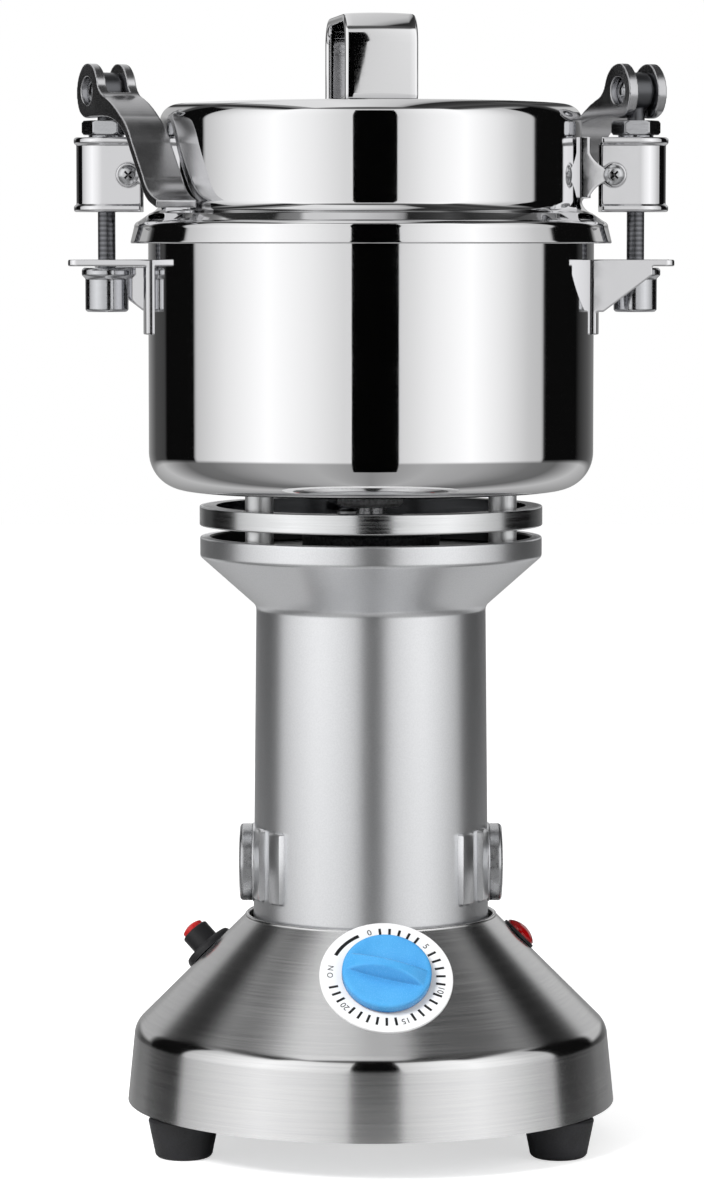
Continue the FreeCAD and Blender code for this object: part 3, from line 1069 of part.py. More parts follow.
def clamp_parts():
    left = FreeCAD.Placement(FreeCAD.Vector(), FreeCAD.Rotation(FreeCAD.Vector(0, 0, 1), 180))

    def both(name, make):
        """A node for each clamp, the left one the right one turned half round."""
        node(name + "_right", make(name + "_right"))
        item = make(name + "_left")
        item.Placement = left.multiply(item.Placement)
        node(name + "_left", item)

    def both_in_one(name, make):
        item = make(name + "_at_left")
        item.Placement = left.multiply(item.Placement)
        node(name, group(name, make(name + "_at_right"), item))

    def drum_outline(grow):
        edge = "drum_radius + " + grow
        return [("drum_open_end", "0 - (%s)" % edge), ("rod_offset", "0 - (%s)" % edge),
                ("rod_offset + " + edge, "0", "left", edge),
                ("rod_offset", edge, "left", edge), ("drum_open_end", edge)]

    def drum(label):
        skin = padded(label + "_skin", "drum_top - drum_bottom", drum_outline("0"),
                      out="drum_bottom")
        bead = "bead_rise"
        low = padded(label + "_low", "bead_height", drum_outline(bead), out="drum_bottom")
        high = padded(label + "_high", "bead_height", drum_outline(bead),
                      out="drum_top - bead_height")
        hollow = padded(label + "_hollow", "drum_top - drum_bottom - 2 * drum_cap", [
            ("drum_open_end - 5 * overcut", "drum_wall - drum_radius"),
            ("rod_offset", "drum_wall - drum_radius"),
            ("rod_offset + drum_radius - drum_wall", "0", "left", "drum_radius - drum_wall"),
            ("rod_offset", "drum_radius - drum_wall", "left", "drum_radius - drum_wall"),
            ("drum_open_end - 5 * overcut", "drum_radius - drum_wall")], out="drum_bottom + drum_cap")
        bore = cylinder(label + "_bore", "rod_radius + moving_gap", "drum_top",
                        ("rod_offset", 0, "drum_bottom / 2"))
        pivot = cylinder(label + "_pivot", "pivot_radius + running_gap", "4 * drum_radius")
        pivot.Placement = FreeCAD.Placement(
            FreeCAD.Vector(value("pivot_offset"), value("2 * drum_radius"), value("pivot_height")),
            FreeCAD.Rotation(FreeCAD.Vector(1, 0, 0), 90))
        beads = []
        for number, body in enumerate((low, high)):
            rounded = doc.addObject("Part::Fillet", "%s_bead_%d" % (label, number))
            rounded.Base = body
            doc.recompute()
            size = value("bead_edge")
            chosen = []
            for place_in_list, edge in enumerate(body.Shape.Edges, start=1):
                flat = edge.BoundBox.ZLength < 0.001
                off_end = edge.BoundBox.XMax > value("drum_open_end") + 0.01
                if flat and off_end:
                    chosen.append((place_in_list, size, size))
            rounded.Edges = chosen
            beads.append(rounded)
        return cut(label, fuse(label + "_body", skin, *beads), hollow, bore, pivot)
    both("clamp_drum", drum)

    def bush(label):
        prism = padded(label + "_hex", "bush_top - bush_bottom", hexagon("bush_width"),
                       out="bush_bottom")
        corner = "bush_width / 1.7320508"
        crown = turned(label + "_crown", [
            ("0", "bush_bottom"), ("bush_face", "bush_bottom"), (corner, "bush_bottom + bush_edge"),
            (corner, "bush_top - bush_edge"), ("bush_face", "bush_top"), ("0", "bush_top")])
        collar = cylinder(label + "_collar", "bush_collar", "bush_bottom - drum_top",
                          (0, 0, "drum_top"))
        bore = cylinder(label + "_bore", "rod_radius + moving_gap", "bush_top", (0, 0, "drum_bottom"))
        item = cut(label, fuse(label + "_body", common(label + "_nut", prism, crown), collar), bore)
        item.Placement.Base = FreeCAD.Vector(value("rod_offset"), 0, 0)
        return item
    both("clamp_bush", bush)

    heading = FreeCAD.Rotation(FreeCAD.Vector(0, 0, 1), 180 - value("lever_heading"))
    across = heading.multiply(FreeCAD.Rotation(FreeCAD.Vector(1, 0, 0), -90))
    pin_place = FreeCAD.Vector(value("rod_offset"), 0, value("pin_height"))

    def rod(label):
        shank = cylinder(label + "_shank", "rod_radius",
                         "pin_height - nut_bottom - nut_recess - shank_inset",
                         ("rod_offset", 0, "nut_bottom + nut_recess"))
        eye = turned(label + "_eye", [
            ("0", "0 - eye_width / 2"), ("eye_radius - eye_edge", "0 - eye_width / 2"),
            ("eye_radius", "eye_edge - eye_width / 2", "left", "eye_edge"),
            ("eye_radius", "eye_width / 2 - eye_edge"),
            ("eye_radius - eye_edge", "eye_width / 2", "left", "eye_edge"), ("0", "eye_width / 2")])
        bore = cylinder(label + "_bore", "pin_radius + running_gap", "2 * eye_width")
        eye.Placement = FreeCAD.Placement(pin_place, across)
        lift = across.multVec(FreeCAD.Vector(0, 0, value("eye_width")))
        bore.Placement = FreeCAD.Placement(pin_place - lift, across)
        return cut(label, fuse(label + "_body", shank, eye), bore)
    both("clamp_rod", rod)

    def pin(label):
        end = "lever_width / 2"
        start = "eye_width / 2 + fit_gap"
        item = turned(label, [
            ("0", "pin_inset - " + end),
            ("pin_cap", "pin_inset + pin_dome - " + end, "left", dome("pin_cap", "pin_dome")),
            ("pin_cap", "0 - (%s)" % start), ("pin_radius", "0 - (%s)" % start),
            ("pin_radius", start), ("pin_cap", start),
            ("pin_cap", end + " - pin_inset - pin_dome"),
            ("0", end + " - pin_inset", "left", dome("pin_cap", "pin_dome"))])
        item.Placement = FreeCAD.Placement(pin_place, across)
        return item
    both("clamp_pin", pin)

    def nut(label):
        item = turned(label, [
            ("rod_radius + fit_gap", "nut_bottom + nut_recess"),
            ("nut_radius - nut_wall", "nut_bottom + nut_recess"), ("nut_radius - nut_wall", "nut_bottom"),
            ("nut_radius - nut_edge", "nut_bottom"), ("nut_radius", "nut_bottom + nut_edge"),
            ("nut_radius", "nut_top - nut_collar_height - (nut_collar - nut_radius)"),
            ("nut_collar", "nut_top - nut_collar_height"), ("nut_collar", "nut_top - nut_edge"),
            ("nut_collar - nut_edge", "nut_top"), ("rod_radius + fit_gap", "nut_top")])
        item.Placement.Base = FreeCAD.Vector(value("rod_offset"), 0, 0)
        return item
    both("clamp_nut", nut)

    def lever(label):
        """Two cam lugs and the strap that sweeps down beside the lid."""
        lug = cylinder(label + "_lug", "lug_radius", "lever_width", (0, "0 - lever_width / 2", 0))
        cam = cylinder(label + "_cam", "cam_radius", "lever_width", (
            "cam_shift * cos(cam_turn)", "0 - lever_width / 2", "0 - cam_shift * sin(cam_turn)"))
        for piece in (lug, cam):
            piece.Placement.Rotation = FreeCAD.Rotation(FreeCAD.Vector(1, 0, 0), -90)
        # The strap's side view from the pin: down beside the lid to its out-turned lip and back.
        strap = padded(label + "_strap", "lever_width", [
            ("0", "0.4 - lug_radius"), ("17", "0.2 - lug_radius"),
            ("31", "-13.8", "right", "40"), ("41", "-23.5", "right", "26"), ("51.5", "-37"),
            ("60", "-44.6", "left", "20"), ("66.5", "-46.8"), ("67.3", "-43.7"),
            ("62.6", "-42.2"), ("54.3", "-34.8", "right", "16"),
            ("43.6", "-21.2"), ("32.6", "-10.8", "left", "29"), ("16", "-2.6", "left", "60"),
            ("10", "4", "right", "9"), ("0", "4")], plane="XZ", midplane=True)
        fork = box(label + "_fork", ("lug_radius + overcut + fork_depth", "fork_gap", "3 * lug_radius"),
                   ("0 - lug_radius - overcut", "0 - fork_gap / 2", "0 - 1.5 * lug_radius"))
        bore = cylinder(label + "_bore", "lug_bore", "2 * lever_width", (0, "0 - lever_width", 0))
        bore.Placement.Rotation = FreeCAD.Rotation(FreeCAD.Vector(1, 0, 0), -90)
        item = cut(label, fuse(label + "_body", common(label + "_lugs", lug, cam), strap), fork, bore)
        item.Placement = FreeCAD.Placement(pin_place, heading)
        return item
    both("clamp_lever", lever)

    def ear_bracket(label):
        """A strip on the lid's wall with an ear on either side of the drum."""
        low = "plug_bottom + strip_foot"
        band = cut(label + "_band", cylinder(label + "_outer", "strip_outer",
                                             "strip_top - (%s)" % low, (0, 0, low)),
                   cylinder(label + "_inner", "lid_radius", "2 * strip_top",
                            (0, 0, "plug_bottom / 2")))
        window = box(label + "_window", ("2 * lid_radius", "2 * (drum_radius + moving_gap + ear_wall)",
                                         "strip_top"),
                     ("lid_radius / 2", "0 - drum_radius - moving_gap - ear_wall", "plug_bottom / 2"))
        strip = common(label + "_strip", band, window)
        ears = []
        for hand in (1, -1):
            near = "drum_radius + moving_gap" if hand > 0 else "0 - drum_radius - moving_gap - ear_wall"
            neck = "pivot_offset - ear_round * 0.8"
            ears.append(padded("%s_ear_%d" % (label, hand), "ear_wall", [
                ("strip_outer - strip_bite", "pivot_height - ear_foot"),
                (neck, "pivot_height - ear_round * 0.6", "right", "ear_waist"),
                ("pivot_offset", "pivot_height - ear_round", "left", "ear_round"),
                ("pivot_offset + ear_round", "pivot_height", "left", "ear_round"),
                ("pivot_offset", "pivot_height + ear_round", "left", "ear_round"),
                (neck, "pivot_height + ear_round * 0.6", "left", "ear_round"),
                ("strip_outer - strip_bite", "pivot_height + ear_foot", "right", "ear_waist")],
                plane="XZ", out="0 - (%s) - ear_wall" % near))
        hole = cylinder(label + "_hole", "pivot_radius + fit_gap", "4 * drum_radius")
        hole.Placement = FreeCAD.Placement(
            FreeCAD.Vector(value("pivot_offset"), value("2 * drum_radius"), value("pivot_height")),
            FreeCAD.Rotation(FreeCAD.Vector(1, 0, 0), 90))
        return cut(label, fuse(label + "_body", strip, *ears), hole)
    both_in_one("ear_brackets", ear_bracket)

    def pivot_screws(label):
        seat = "drum_radius + moving_gap + ear_wall"
        end = "drum_radius - drum_wall - pivot_end"
        pair = []
        for hand in (1, -1):
            item = turned("%s_%d" % (label, hand), [
                ("0", end), ("pivot_radius", end),
                ("pivot_radius", seat), ("pivot_head_radius", seat),
                ("pivot_head_radius", seat + " + pivot_head_height / 2"),
                ("0", seat + " + pivot_head_height", "left",
                 dome("pivot_head_radius", "pivot_head_height / 2"))])
            item.Placement = FreeCAD.Placement(
                FreeCAD.Vector(value("pivot_offset"), 0, value("pivot_height")),
                FreeCAD.Rotation(FreeCAD.Vector(1, 0, 0), -90 * hand))
            pair.append(item)
        return group(label, *pair)
    both_in_one("pivot_screws", pivot_screws)

    def catch_bracket(label):
        """A slotted plate with a leg on the bowl's wall and a gusset under one arm."""
        slot = "nut_collar + slot_gap"
        side = "catch_width / 2"
        plate = padded(label + "_plate", "catch_thickness", [
            ("bowl_radius - 2 * leg_wall", "0 - " + side), ("catch_reach - catch_corner", "0 - " + side),
            ("catch_reach", "catch_corner - " + side, "left", "catch_corner"),
            ("catch_reach", "0 - (%s)" % slot),
            ("rod_offset", "0 - (%s)" % slot), ("rod_offset - (%s)" % slot, "0", "right", slot),
            ("rod_offset", slot, "right", slot), ("catch_reach", slot),
            ("catch_reach", side + " - catch_corner"),
            ("catch_reach - catch_corner", side, "left", "catch_corner"),
            ("bowl_radius - 2 * leg_wall", side)], out="catch_bottom")
        leg = common(label + "_leg",
                     cylinder(label + "_leg_outer", "bowl_radius + leg_wall",
                              "catch_bottom - leg_bottom + overcut", (0, 0, "leg_bottom")),
                     box(label + "_leg_box", ("2 * bowl_radius", "catch_width", "catch_bottom"),
                         ("bowl_radius / 2", "0 - catch_width / 2", "leg_bottom / 2")))
        gusset = padded(label + "_gusset", "gusset_wall", [
            ("bowl_radius - 2 * leg_wall", "gusset_bottom"), ("bowl_radius + gusset_foot", "gusset_bottom"),
            ("gusset_reach", "catch_bottom - gusset_tip"), ("gusset_reach", "catch_bottom"),
            ("bowl_radius - 2 * leg_wall", "catch_bottom")], plane="XZ", out="catch_width / 2 - gusset_wall")
        wall = cylinder(label + "_wall", "bowl_radius", "2 * catch_bottom", (0, 0, "leg_bottom / 2"))
        return cut(label, fuse(label + "_body", plate, leg, gusset), wall)
    both_in_one("catch_brackets", catch_bracket)


base_parts()
housing_parts()
brush_parts()
motor_parts()
electric_parts()
bowl_parts()
blade_parts()
lid_parts()
clamp_parts()
doc.recompute()

for item in doc.Objects:
    if "Invalid" in item.State or "Error" in item.State:
        raise SystemExit("%s did not build: %s" % (item.Label, item.State))
for name, item in NODES.items():
    if item.Shape.isNull() or not item.Shape.isValid() or not item.Shape.Solids:
        raise SystemExit("%s has no valid solid" % name)

os.makedirs("parts", exist_ok=True)
for name, item in NODES.items():
    item.Shape.exportStep("parts/%s.step" % name)
    print("%-20s %d solids, %.0f mm3" % (name, len(item.Shape.Solids), item.Shape.Volume))
print(len(NODES), "nodes")
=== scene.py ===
import math

import bmesh
import bpy
from mathutils import Matrix, Vector


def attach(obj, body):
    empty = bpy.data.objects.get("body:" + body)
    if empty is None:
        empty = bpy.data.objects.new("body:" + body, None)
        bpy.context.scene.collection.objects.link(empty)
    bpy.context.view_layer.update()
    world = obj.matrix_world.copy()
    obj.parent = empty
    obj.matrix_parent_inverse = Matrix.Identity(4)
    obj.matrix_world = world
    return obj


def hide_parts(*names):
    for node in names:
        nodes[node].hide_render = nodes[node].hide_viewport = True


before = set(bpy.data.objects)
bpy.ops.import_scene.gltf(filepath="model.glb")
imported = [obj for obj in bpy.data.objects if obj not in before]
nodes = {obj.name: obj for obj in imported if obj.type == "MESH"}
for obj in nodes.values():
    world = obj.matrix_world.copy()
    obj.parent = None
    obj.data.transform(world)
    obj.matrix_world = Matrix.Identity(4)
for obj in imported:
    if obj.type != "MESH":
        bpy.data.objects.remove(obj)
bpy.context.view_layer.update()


# Rubber feet and their screws
# Three tapered feet of black rubber, each held up against the base plate by a pan-head screw
# that sits in the hollow of the foot, so the screw never touches the table.

def hex_colour(code):
    """An sRGB hex colour as the linear one that shaders take."""
    channels = [int(code[place:place + 2], 16) / 255 for place in (1, 3, 5)]
    return [c / 12.92 if c <= 0.04045 else ((c + 0.055) / 1.055) ** 2.4 for c in channels] + [1.0]


def feed(tree, item, links):
    """Gives a node's inputs values, sockets, or nodes, which stand for their first output."""
    for socket, source in links.items():
        if isinstance(source, bpy.types.Node):
            source = source.outputs[0]
        if isinstance(source, bpy.types.NodeSocket):
            tree.links.new(source, item.inputs[socket])
        else:
            item.inputs[socket].default_value = source
    return item


def add(tree, kind, links=None, **settings):
    """Adds a node with its settings and feeds its inputs."""
    item = tree.nodes.new(kind)
    for name, setting in settings.items():
        setattr(item, name, setting)
    return feed(tree, item, links or {})


def grain(tree, place, size_mm, stretch=(1, 1, 1), detail=3.0):
    """Noise whose grains are about this many millimetres across, longer where stretch is under 1."""
    per_metre = [1000 / size_mm * factor for factor in stretch]
    spread = add(tree, "ShaderNodeMapping", {"Vector": place, "Scale": per_metre})
    return add(tree, "ShaderNodeTexNoise", {
        "Vector": spread, "Scale": 1.0, "Detail": detail, "Roughness": 0.55}).outputs["Fac"]


def tint(tree, shader, source, dark, light, start=0.35, end=0.65):
    """The shader's colour runs from dark to light while the source runs from start to end."""
    ramp = add(tree, "ShaderNodeValToRGB", {"Fac": source})
    for element, at, colour in zip(ramp.color_ramp.elements, (start, end), (dark, light)):
        element.position = at
        element.color = hex_colour(colour)
    feed(tree, shader, {"Base Color": ramp})
    return ramp


def polish(tree, shader, noise, low, high):
    """The shader's roughness runs from low to high while the noise runs from 0.3 to 0.7."""
    share = add(tree, "ShaderNodeMapRange", {
        "Value": noise, "From Min": 0.3, "From Max": 0.7, "To Min": low, "To Max": high})
    feed(tree, shader, {"Roughness": share})
    return share


def relief(tree, shader, source, height_mm, under=None):
    """Bump of this height in millimetres, on top of another bump where one is given."""
    bump = add(tree, "ShaderNodeBump", {
        "Height": source, "Distance": height_mm / 1000, "Strength": 1.0})
    if under:
        feed(tree, bump, {"Normal": under})
    feed(tree, shader, {"Normal": bump})
    return bump


def inside(material):
    """A material's tree, its shader and the coordinates of the piece in metres."""
    tree = material.node_tree
    place = add(tree, "ShaderNodeTexCoord").outputs["Object"]
    return tree, tree.nodes["Principled BSDF"], place


def finish_of(name, colour, metallic=0.0, roughness=0.5, tones=None, shine=None, rise=None, **sockets):
    """A new material. Tones, shine and rise are what tint, polish and relief take, and start with
    the size of their noise in mm, or with (size, stretch)."""
    material = bpy.data.materials.new(name)
    material.use_nodes = True
    tree, shader, place = inside(material)
    feed(tree, shader, {
        "Base Color": hex_colour(colour), "Metallic": metallic, "Roughness": roughness,
        **{socket.replace("_", " "): setting for socket, setting in sockets.items()}})
    noises = {}
    for change, terms in ((tint, tones), (polish, shine), (relief, rise)):
        if terms:
            size = terms[0]
            if size not in noises:
                noises[size] = grain(tree, place, *(size if isinstance(size, tuple) else (size,)))
            change(tree, shader, noises[size], *terms[1:])
    return material


def shade_recesses(material, reach_mm, dark, light, start, end):
    """Painted shade: the colour falls to dark in recesses whose walls stand about this near."""
    tree, shader, place = inside(material)
    openness = add(tree, "ShaderNodeAmbientOcclusion", {"Distance": reach_mm / 1000}, samples=6)
    return tint(tree, shader, openness.outputs["AO"], dark, light, start, end)


# Moulded rubber: matt, a little greyer where it rubs, with the fine grain of its mould.
rubber = finish_of("moulded_black_rubber", "#17171A", roughness=0.62,
                   tones=(14, "#131315", "#202024"), shine=(0.5, 0.52, 0.72), rise=(0.5, 0.06))

# Zinc-plated screws: bright, with a faint turning mark from the header, and painted shade that darkens
# the cross recess.
screw_steel = finish_of("zinc_plated_screw", "#C9CACC", 1.0, 0.22, shine=(0.3, 0.15, 0.3),
                        rise=(0.3, 0.01))
shade_recesses(screw_steel, 1.6, "#0C0C0D", "#C9CACC", 0.55, 0.92)


def rounded(points):
    """An outline in mm: (across, up, side, radius) ends an arc that turns to that side. A straight
    run gets one more point close to each arc that it meets, which keeps its shading flat."""
    line = []
    for number, point in enumerate(points):
        start = Vector(points[number - 1][:2])
        end = Vector(point[:2])
        chord = end - start
        if len(point) == 2:
            run = chord.length
            if number and run > 2:
                hold = min(0.6, run / 4) / run
                if len(points[number - 1]) == 4:
                    line.append(start.lerp(end, hold))
                if len(points[(number + 1) % len(points)]) == 4:
                    line.append(end.lerp(start, hold))
            line.append(end)
            continue
        side, radius = point[2:]
        rise = math.sqrt(max(radius * radius - chord.length_squared / 4, 0))
        left = Vector((-chord.y, chord.x)).normalized()
        centre = (start + end) / 2 + left * (rise if side == "left" else -rise)
        first = math.atan2(start.y - centre.y, start.x - centre.x)
        last = math.atan2(end.y - centre.y, end.x - centre.x)
        turn = (last - first) % (2 * math.pi)
        if side == "right":
            turn -= 2 * math.pi
        count = max(3, math.ceil(abs(turn) / math.radians(6)))
        for step in range(1, count + 1):
            angle = first + turn * step / count
            line.append(centre + radius * Vector((math.cos(angle), math.sin(angle))))
    return line


def linked(name, data):
    """A new object of the scene that carries this data."""
    item = bpy.data.objects.new(name, data)
    bpy.context.scene.collection.objects.link(item)
    return item


def meshed(name, bm):
    """A new object with this mesh as it is."""
    mesh = bpy.data.meshes.new(name)
    bm.to_mesh(mesh)
    bm.free()
    return linked(name, mesh)


def smooth(item, sharp):
    """Shades an object smooth but for its edges of more than this many degrees."""
    item.data.shade_smooth()
    item.data.set_sharp_from_angle(angle=math.radians(sharp))
    return item


def into_object(name, bm, place=Matrix(), sharp=32, round_off=0):
    """A mesh in mm made a piece in metres, smooth but for its sharp edges, which can be rounded."""
    bmesh.ops.remove_doubles(bm, verts=bm.verts, dist=0.001)
    bmesh.ops.recalc_face_normals(bm, faces=bm.faces)
    if round_off:
        rims = [edge for edge in bm.edges if edge.is_manifold and edge.calc_face_angle() > 0.7]
        bmesh.ops.bevel(bm, geom=rims, offset=round_off, segments=3, profile=0.5, affect="EDGES",
                        clamp_overlap=True)
    bm.transform(Matrix.Scale(0.001, 4) @ place)
    return smooth(meshed(name, bm), sharp)


def spun(name, outline, steps=192, place=Matrix()):
    """Spins a closed outline round the Z axis into a piece."""
    bm = bmesh.new()
    rings = []
    for point in rounded(outline):
        if point.x < 0.001:
            rings.append([bm.verts.new((0, 0, point.y))])
            continue
        rings.append([bm.verts.new((point.x * math.cos(2 * math.pi * k / steps),
                                    point.x * math.sin(2 * math.pi * k / steps), point.y))
                      for k in range(steps)])
    for first, second in zip(rings, rings[1:] + rings[:1]):
        for k in range(steps):
            corners = [first[k % len(first)], second[k % len(second)],
                       second[(k + 1) % len(second)], first[(k + 1) % len(first)]]
            kept = list(dict.fromkeys(corners))
            if len(kept) > 2:
                bm.faces.new(kept)
    return into_object(name, bm, place)


def paint(material, *pieces):
    """Makes this the only material of pieces, or of nodes that are given by name."""
    for piece in pieces:
        slots = (nodes[piece] if isinstance(piece, str) else piece).data.materials
        slots.clear()
        slots.append(material)


def give(piece, material, body, slot, *replaced):
    """Finishes a piece: its material, the body it rides on and the nodes it stands for."""
    paint(material, piece)
    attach(piece, body)
    if replaced:
        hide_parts(*replaced)


def ring_tree(name, shape, **shape_inputs):
    """A tree that spaces copies of a shape evenly on a circle round the Z axis."""
    tree = bpy.data.node_groups.new(name, "GeometryNodeTree")
    face = tree.interface
    inputs = {**shape_inputs, "Count": "Int", "Start_Angle": "Float", "Step_Angle": "Float",
              "Finish": "Material"}
    for label, kind in inputs.items():
        face.new_socket(name=label.replace("_", " "), in_out="INPUT", socket_type="NodeSocket" + kind)
    face.new_socket(name="Geometry", in_out="OUTPUT", socket_type="NodeSocketGeometry")
    given = add(tree, "NodeGroupInput").outputs
    line = add(tree, "GeometryNodePoints", {"Count": given["Count"]})
    number = add(tree, "GeometryNodeInputIndex")
    swing = add(tree, "ShaderNodeMath", {0: number, 1: given["Step Angle"],
                                         2: given["Start Angle"]}, operation="MULTIPLY_ADD")
    spin = add(tree, "ShaderNodeCombineXYZ", {"Z": swing})
    copies = add(tree, "GeometryNodeInstanceOnPoints", {
        "Points": line, "Instance": shape(tree, given), "Rotation": spin})
    real = add(tree, "GeometryNodeRealizeInstances", {"Geometry": copies})
    finish = add(tree, "GeometryNodeSetMaterial", {"Geometry": real, "Material": given["Finish"]})
    add(tree, "NodeGroupOutput", {"Geometry": finish})
    return tree


def given_piece(tree, given):
    """The shape of the object that is given."""
    return add(tree, "GeometryNodeObjectInfo", {"Object": given["Piece"]}).outputs["Geometry"]


pieces_on_a_circle = ring_tree("pieces_on_a_circle", given_piece, Piece="Object")


def worked_out(item):
    """An object's final mesh, with its modifiers worked in and then taken off."""
    bpy.context.view_layer.update()
    view = bpy.context.evaluated_depsgraph_get()
    mesh = bpy.data.meshes.new_from_object(item.evaluated_get(view), depsgraph=view)
    item.modifiers.clear()
    return mesh


def run_tree(name, tree, settings):
    """Runs a Geometry Nodes tree with these inputs and keeps the result as a plain mesh."""
    carrier = linked(name, bpy.data.meshes.new(name))
    change = carrier.modifiers.new(name, "NODES")
    change.node_group = tree
    for item in tree.interface.items_tree:
        if item.in_out == "INPUT" and item.name in settings:
            change[item.identifier] = settings[item.name]
    carrier.data = worked_out(carrier)
    return carrier


def circle_of(name, piece, count, start, material):
    """A piece set evenly round the axis; start in degrees from where it stands."""
    made = run_tree(name, pieces_on_a_circle, {
        "Piece": piece, "Count": count, "Start Angle": math.radians(start),
        "Step Angle": math.radians(360 / count), "Finish": material})
    bpy.data.objects.remove(piece)
    return made


foot_circle = 85.5
foot = spun("foot_pattern", [
    (2.2, 8), (5, 8), (5, 0), (9.1, 0), (11.5, 2.4, "left", 2.4), (13.9, 14.2),
    (13.1, 15.6, "left", 1), (8.5, 16), (8.5, 18), (2.2, 18)], 64,
    Matrix.Translation((0, foot_circle, 0)))
feet = circle_of("rubber_feet_moulded", foot, 3, 0, rubber)
give(feet, rubber, "base", "foot_rubber", "rubber_feet")


def cut(item, cutter, crossed=False):
    """Takes a cutter's shape off an object; crossed says that the cutter's parts cross."""
    change = item.modifiers.new("cut", "BOOLEAN")
    change.operation = "DIFFERENCE"
    change.object = cutter
    change.solver = "EXACT"
    change.use_self = crossed


def cross_screw(name, head, rise, shank, length, place, recess=0.55):
    """A pan-head screw with a cross recess, its seat at z 0 and its head above it."""
    item = spun(name, [
        (0, -length), (shank - 0.4, -length), (shank, -length + 0.6), (shank, 0), (head, 0),
        (head, rise * 0.45), (head * 0.5, rise * 0.94, "left", head * 0.95), (0, rise)], 48)
    blade = bmesh.new()
    for turn in (45, 135):
        arm = bmesh.ops.create_cube(blade, size=1)["verts"]
        bmesh.ops.scale(blade, vec=(head * recess * 2, head * 0.2, rise), verts=arm)
        bmesh.ops.rotate(blade, matrix=Matrix.Rotation(math.radians(turn), 3, "Z"), verts=arm)
        bmesh.ops.translate(blade, vec=(0, 0, rise), verts=arm)
    cutter = into_object(name + "_recess", blade)
    cut(item, cutter, crossed=True)
    item.data = worked_out(item)
    bpy.data.objects.remove(cutter)
    item.data.transform(Matrix.Scale(0.001, 4) @ place @ Matrix.Scale(1000, 4))
    return smooth(item, 32)


screw = cross_screw("foot_screw_pattern", 4.2, 2.6, 2, 16.5,
                    Matrix.Translation((0, foot_circle, 8)) @ Matrix.Rotation(math.pi, 4, "X"))
screws = circle_of("foot_screws_crossed", screw, 3, 0, screw_steel)
give(screws, screw_steel, "base", "plated_screw", "foot_screws")


# Base plate, support posts and the parts inside the base
# A zinc-plated pressed plate closes the base from below. It carries three hexagon posts that hold
# the motor, and the timer, the breaker and the lamp hang behind the shell.

# Zinc-plated sheet, with spangles of 7 mm.
zinc_sheet = finish_of("zinc_plated_sheet", "#9FA3A8", 1.0, 0.38, shine=(3, 0.3, 0.45),
                       rise=(1.2, 0.02))
tree, shader, place = inside(zinc_sheet)
spangle = add(tree, "ShaderNodeTexVoronoi", {"Vector": place, "Scale": 1000 / 7}, feature="F1")
shade = add(tree, "ShaderNodeRGBToBW", {"Color": spangle.outputs["Color"]})
tint(tree, shader, shade, "#8E9298", "#B0B4B9", 0.2, 0.8)
paint(zinc_sheet, "base_plate")

# Drawn bar: bright, drawn lengthwise.
along_bar = (0.5, (1, 1, 0.02))
drawn_bar = finish_of("drawn_steel_bar", "#A6A8AB", 1.0, 0.33, shine=(along_bar, 0.25, 0.42),
                      rise=(along_bar, 0.03))
paint(drawn_bar, "support_posts", "brush_springs")

# Black moulded plastic: spark-eroded mould grain, paler along its outer edges.
black_plastic = finish_of("moulded_black_nylon", "#1A1A1C", roughness=0.42,
                          shine=(0.45, 0.34, 0.52), rise=(0.45, 0.05))
tree, shader, place = inside(black_plastic)
soft = add(tree, "ShaderNodeBevel", {"Radius": 0.0005}, samples=4)
plain = add(tree, "ShaderNodeNewGeometry")
likeness = add(tree, "ShaderNodeVectorMath", {0: soft, 1: plain.outputs["Normal"]},
               operation="DOT_PRODUCT")
paler_at_edges = add(tree, "ShaderNodeMapRange", {
    "Value": likeness.outputs["Value"], "From Min": 0.995, "From Max": 0.9})
tint(tree, shader, paler_at_edges, "#18181A", "#303034", 0.3, 1.0)
paint(black_plastic, "timer_body", "breaker_body", "pilot_lamp_body", "cord_gland", "brush_holders")

# Pressed carbon, with specks of graphite.
carbon = finish_of("pressed_carbon", "#222224", roughness=0.6, tones=(0.4, "#1A1A1C", "#3A3A3D"))
paint(carbon, "carbon_brushes")

# Stacked steel sheets, blued by their insulation. A wave texture has a band every pi / 10 units, so
# this scale sets its bands 1 mm apart. The sheets are drawn as packs of 2 mm.
bands_of_1_mm = 100 * math.pi
pack_of_sheets = 1.973
lamination = finish_of("stacked_core_sheets", "#5C6068", 0.9, 0.45)
tree, shader, place = inside(lamination)
sheets = add(tree, "ShaderNodeTexWave", {"Vector": place, "Scale": bands_of_1_mm / pack_of_sheets},
             bands_direction="Z").outputs["Fac"]
tint(tree, shader, sheets, "#44474E", "#6E737B")
relief(tree, shader, sheets, 0.1)
paint(lamination, "stator_core", "armature_core")

# Enamelled copper winding: wires that lie across the coil.
wire_pitch = 1.776
copper_wire = finish_of("enamelled_copper_wire", "#B4632C", 0.8, 0.3)
tree, shader, place = inside(copper_wire)
wires = add(tree, "ShaderNodeTexWave", {"Vector": place, "Scale": bands_of_1_mm / wire_pitch,
                                        "Distortion": 1.5}, bands_direction="DIAGONAL").outputs["Fac"]
tint(tree, shader, wires, "#7A3C17", "#CC7A3C")
relief(tree, shader, wires, 0.3)
paint(copper_wire, "field_coils", "armature_windings")

# Turned copper bars with their soft brown oxide.
copper_bar = finish_of("turned_copper_bar", "#C57B50", 1.0, 0.3, tones=(5, "#A9623A", "#D08A60"),
                       rise=((0.3, (0.05, 0.05, 1)), 0.02))
paint(copper_bar, "commutator")

# Natural nylon of the fan, cloudy.
natural_nylon = finish_of("natural_nylon", "#D9D6CC", roughness=0.45,
                          tones=(9, "#CFCBBF", "#E2DFD6"), rise=(0.5, 0.03))
paint(natural_nylon, "cooling_fan")

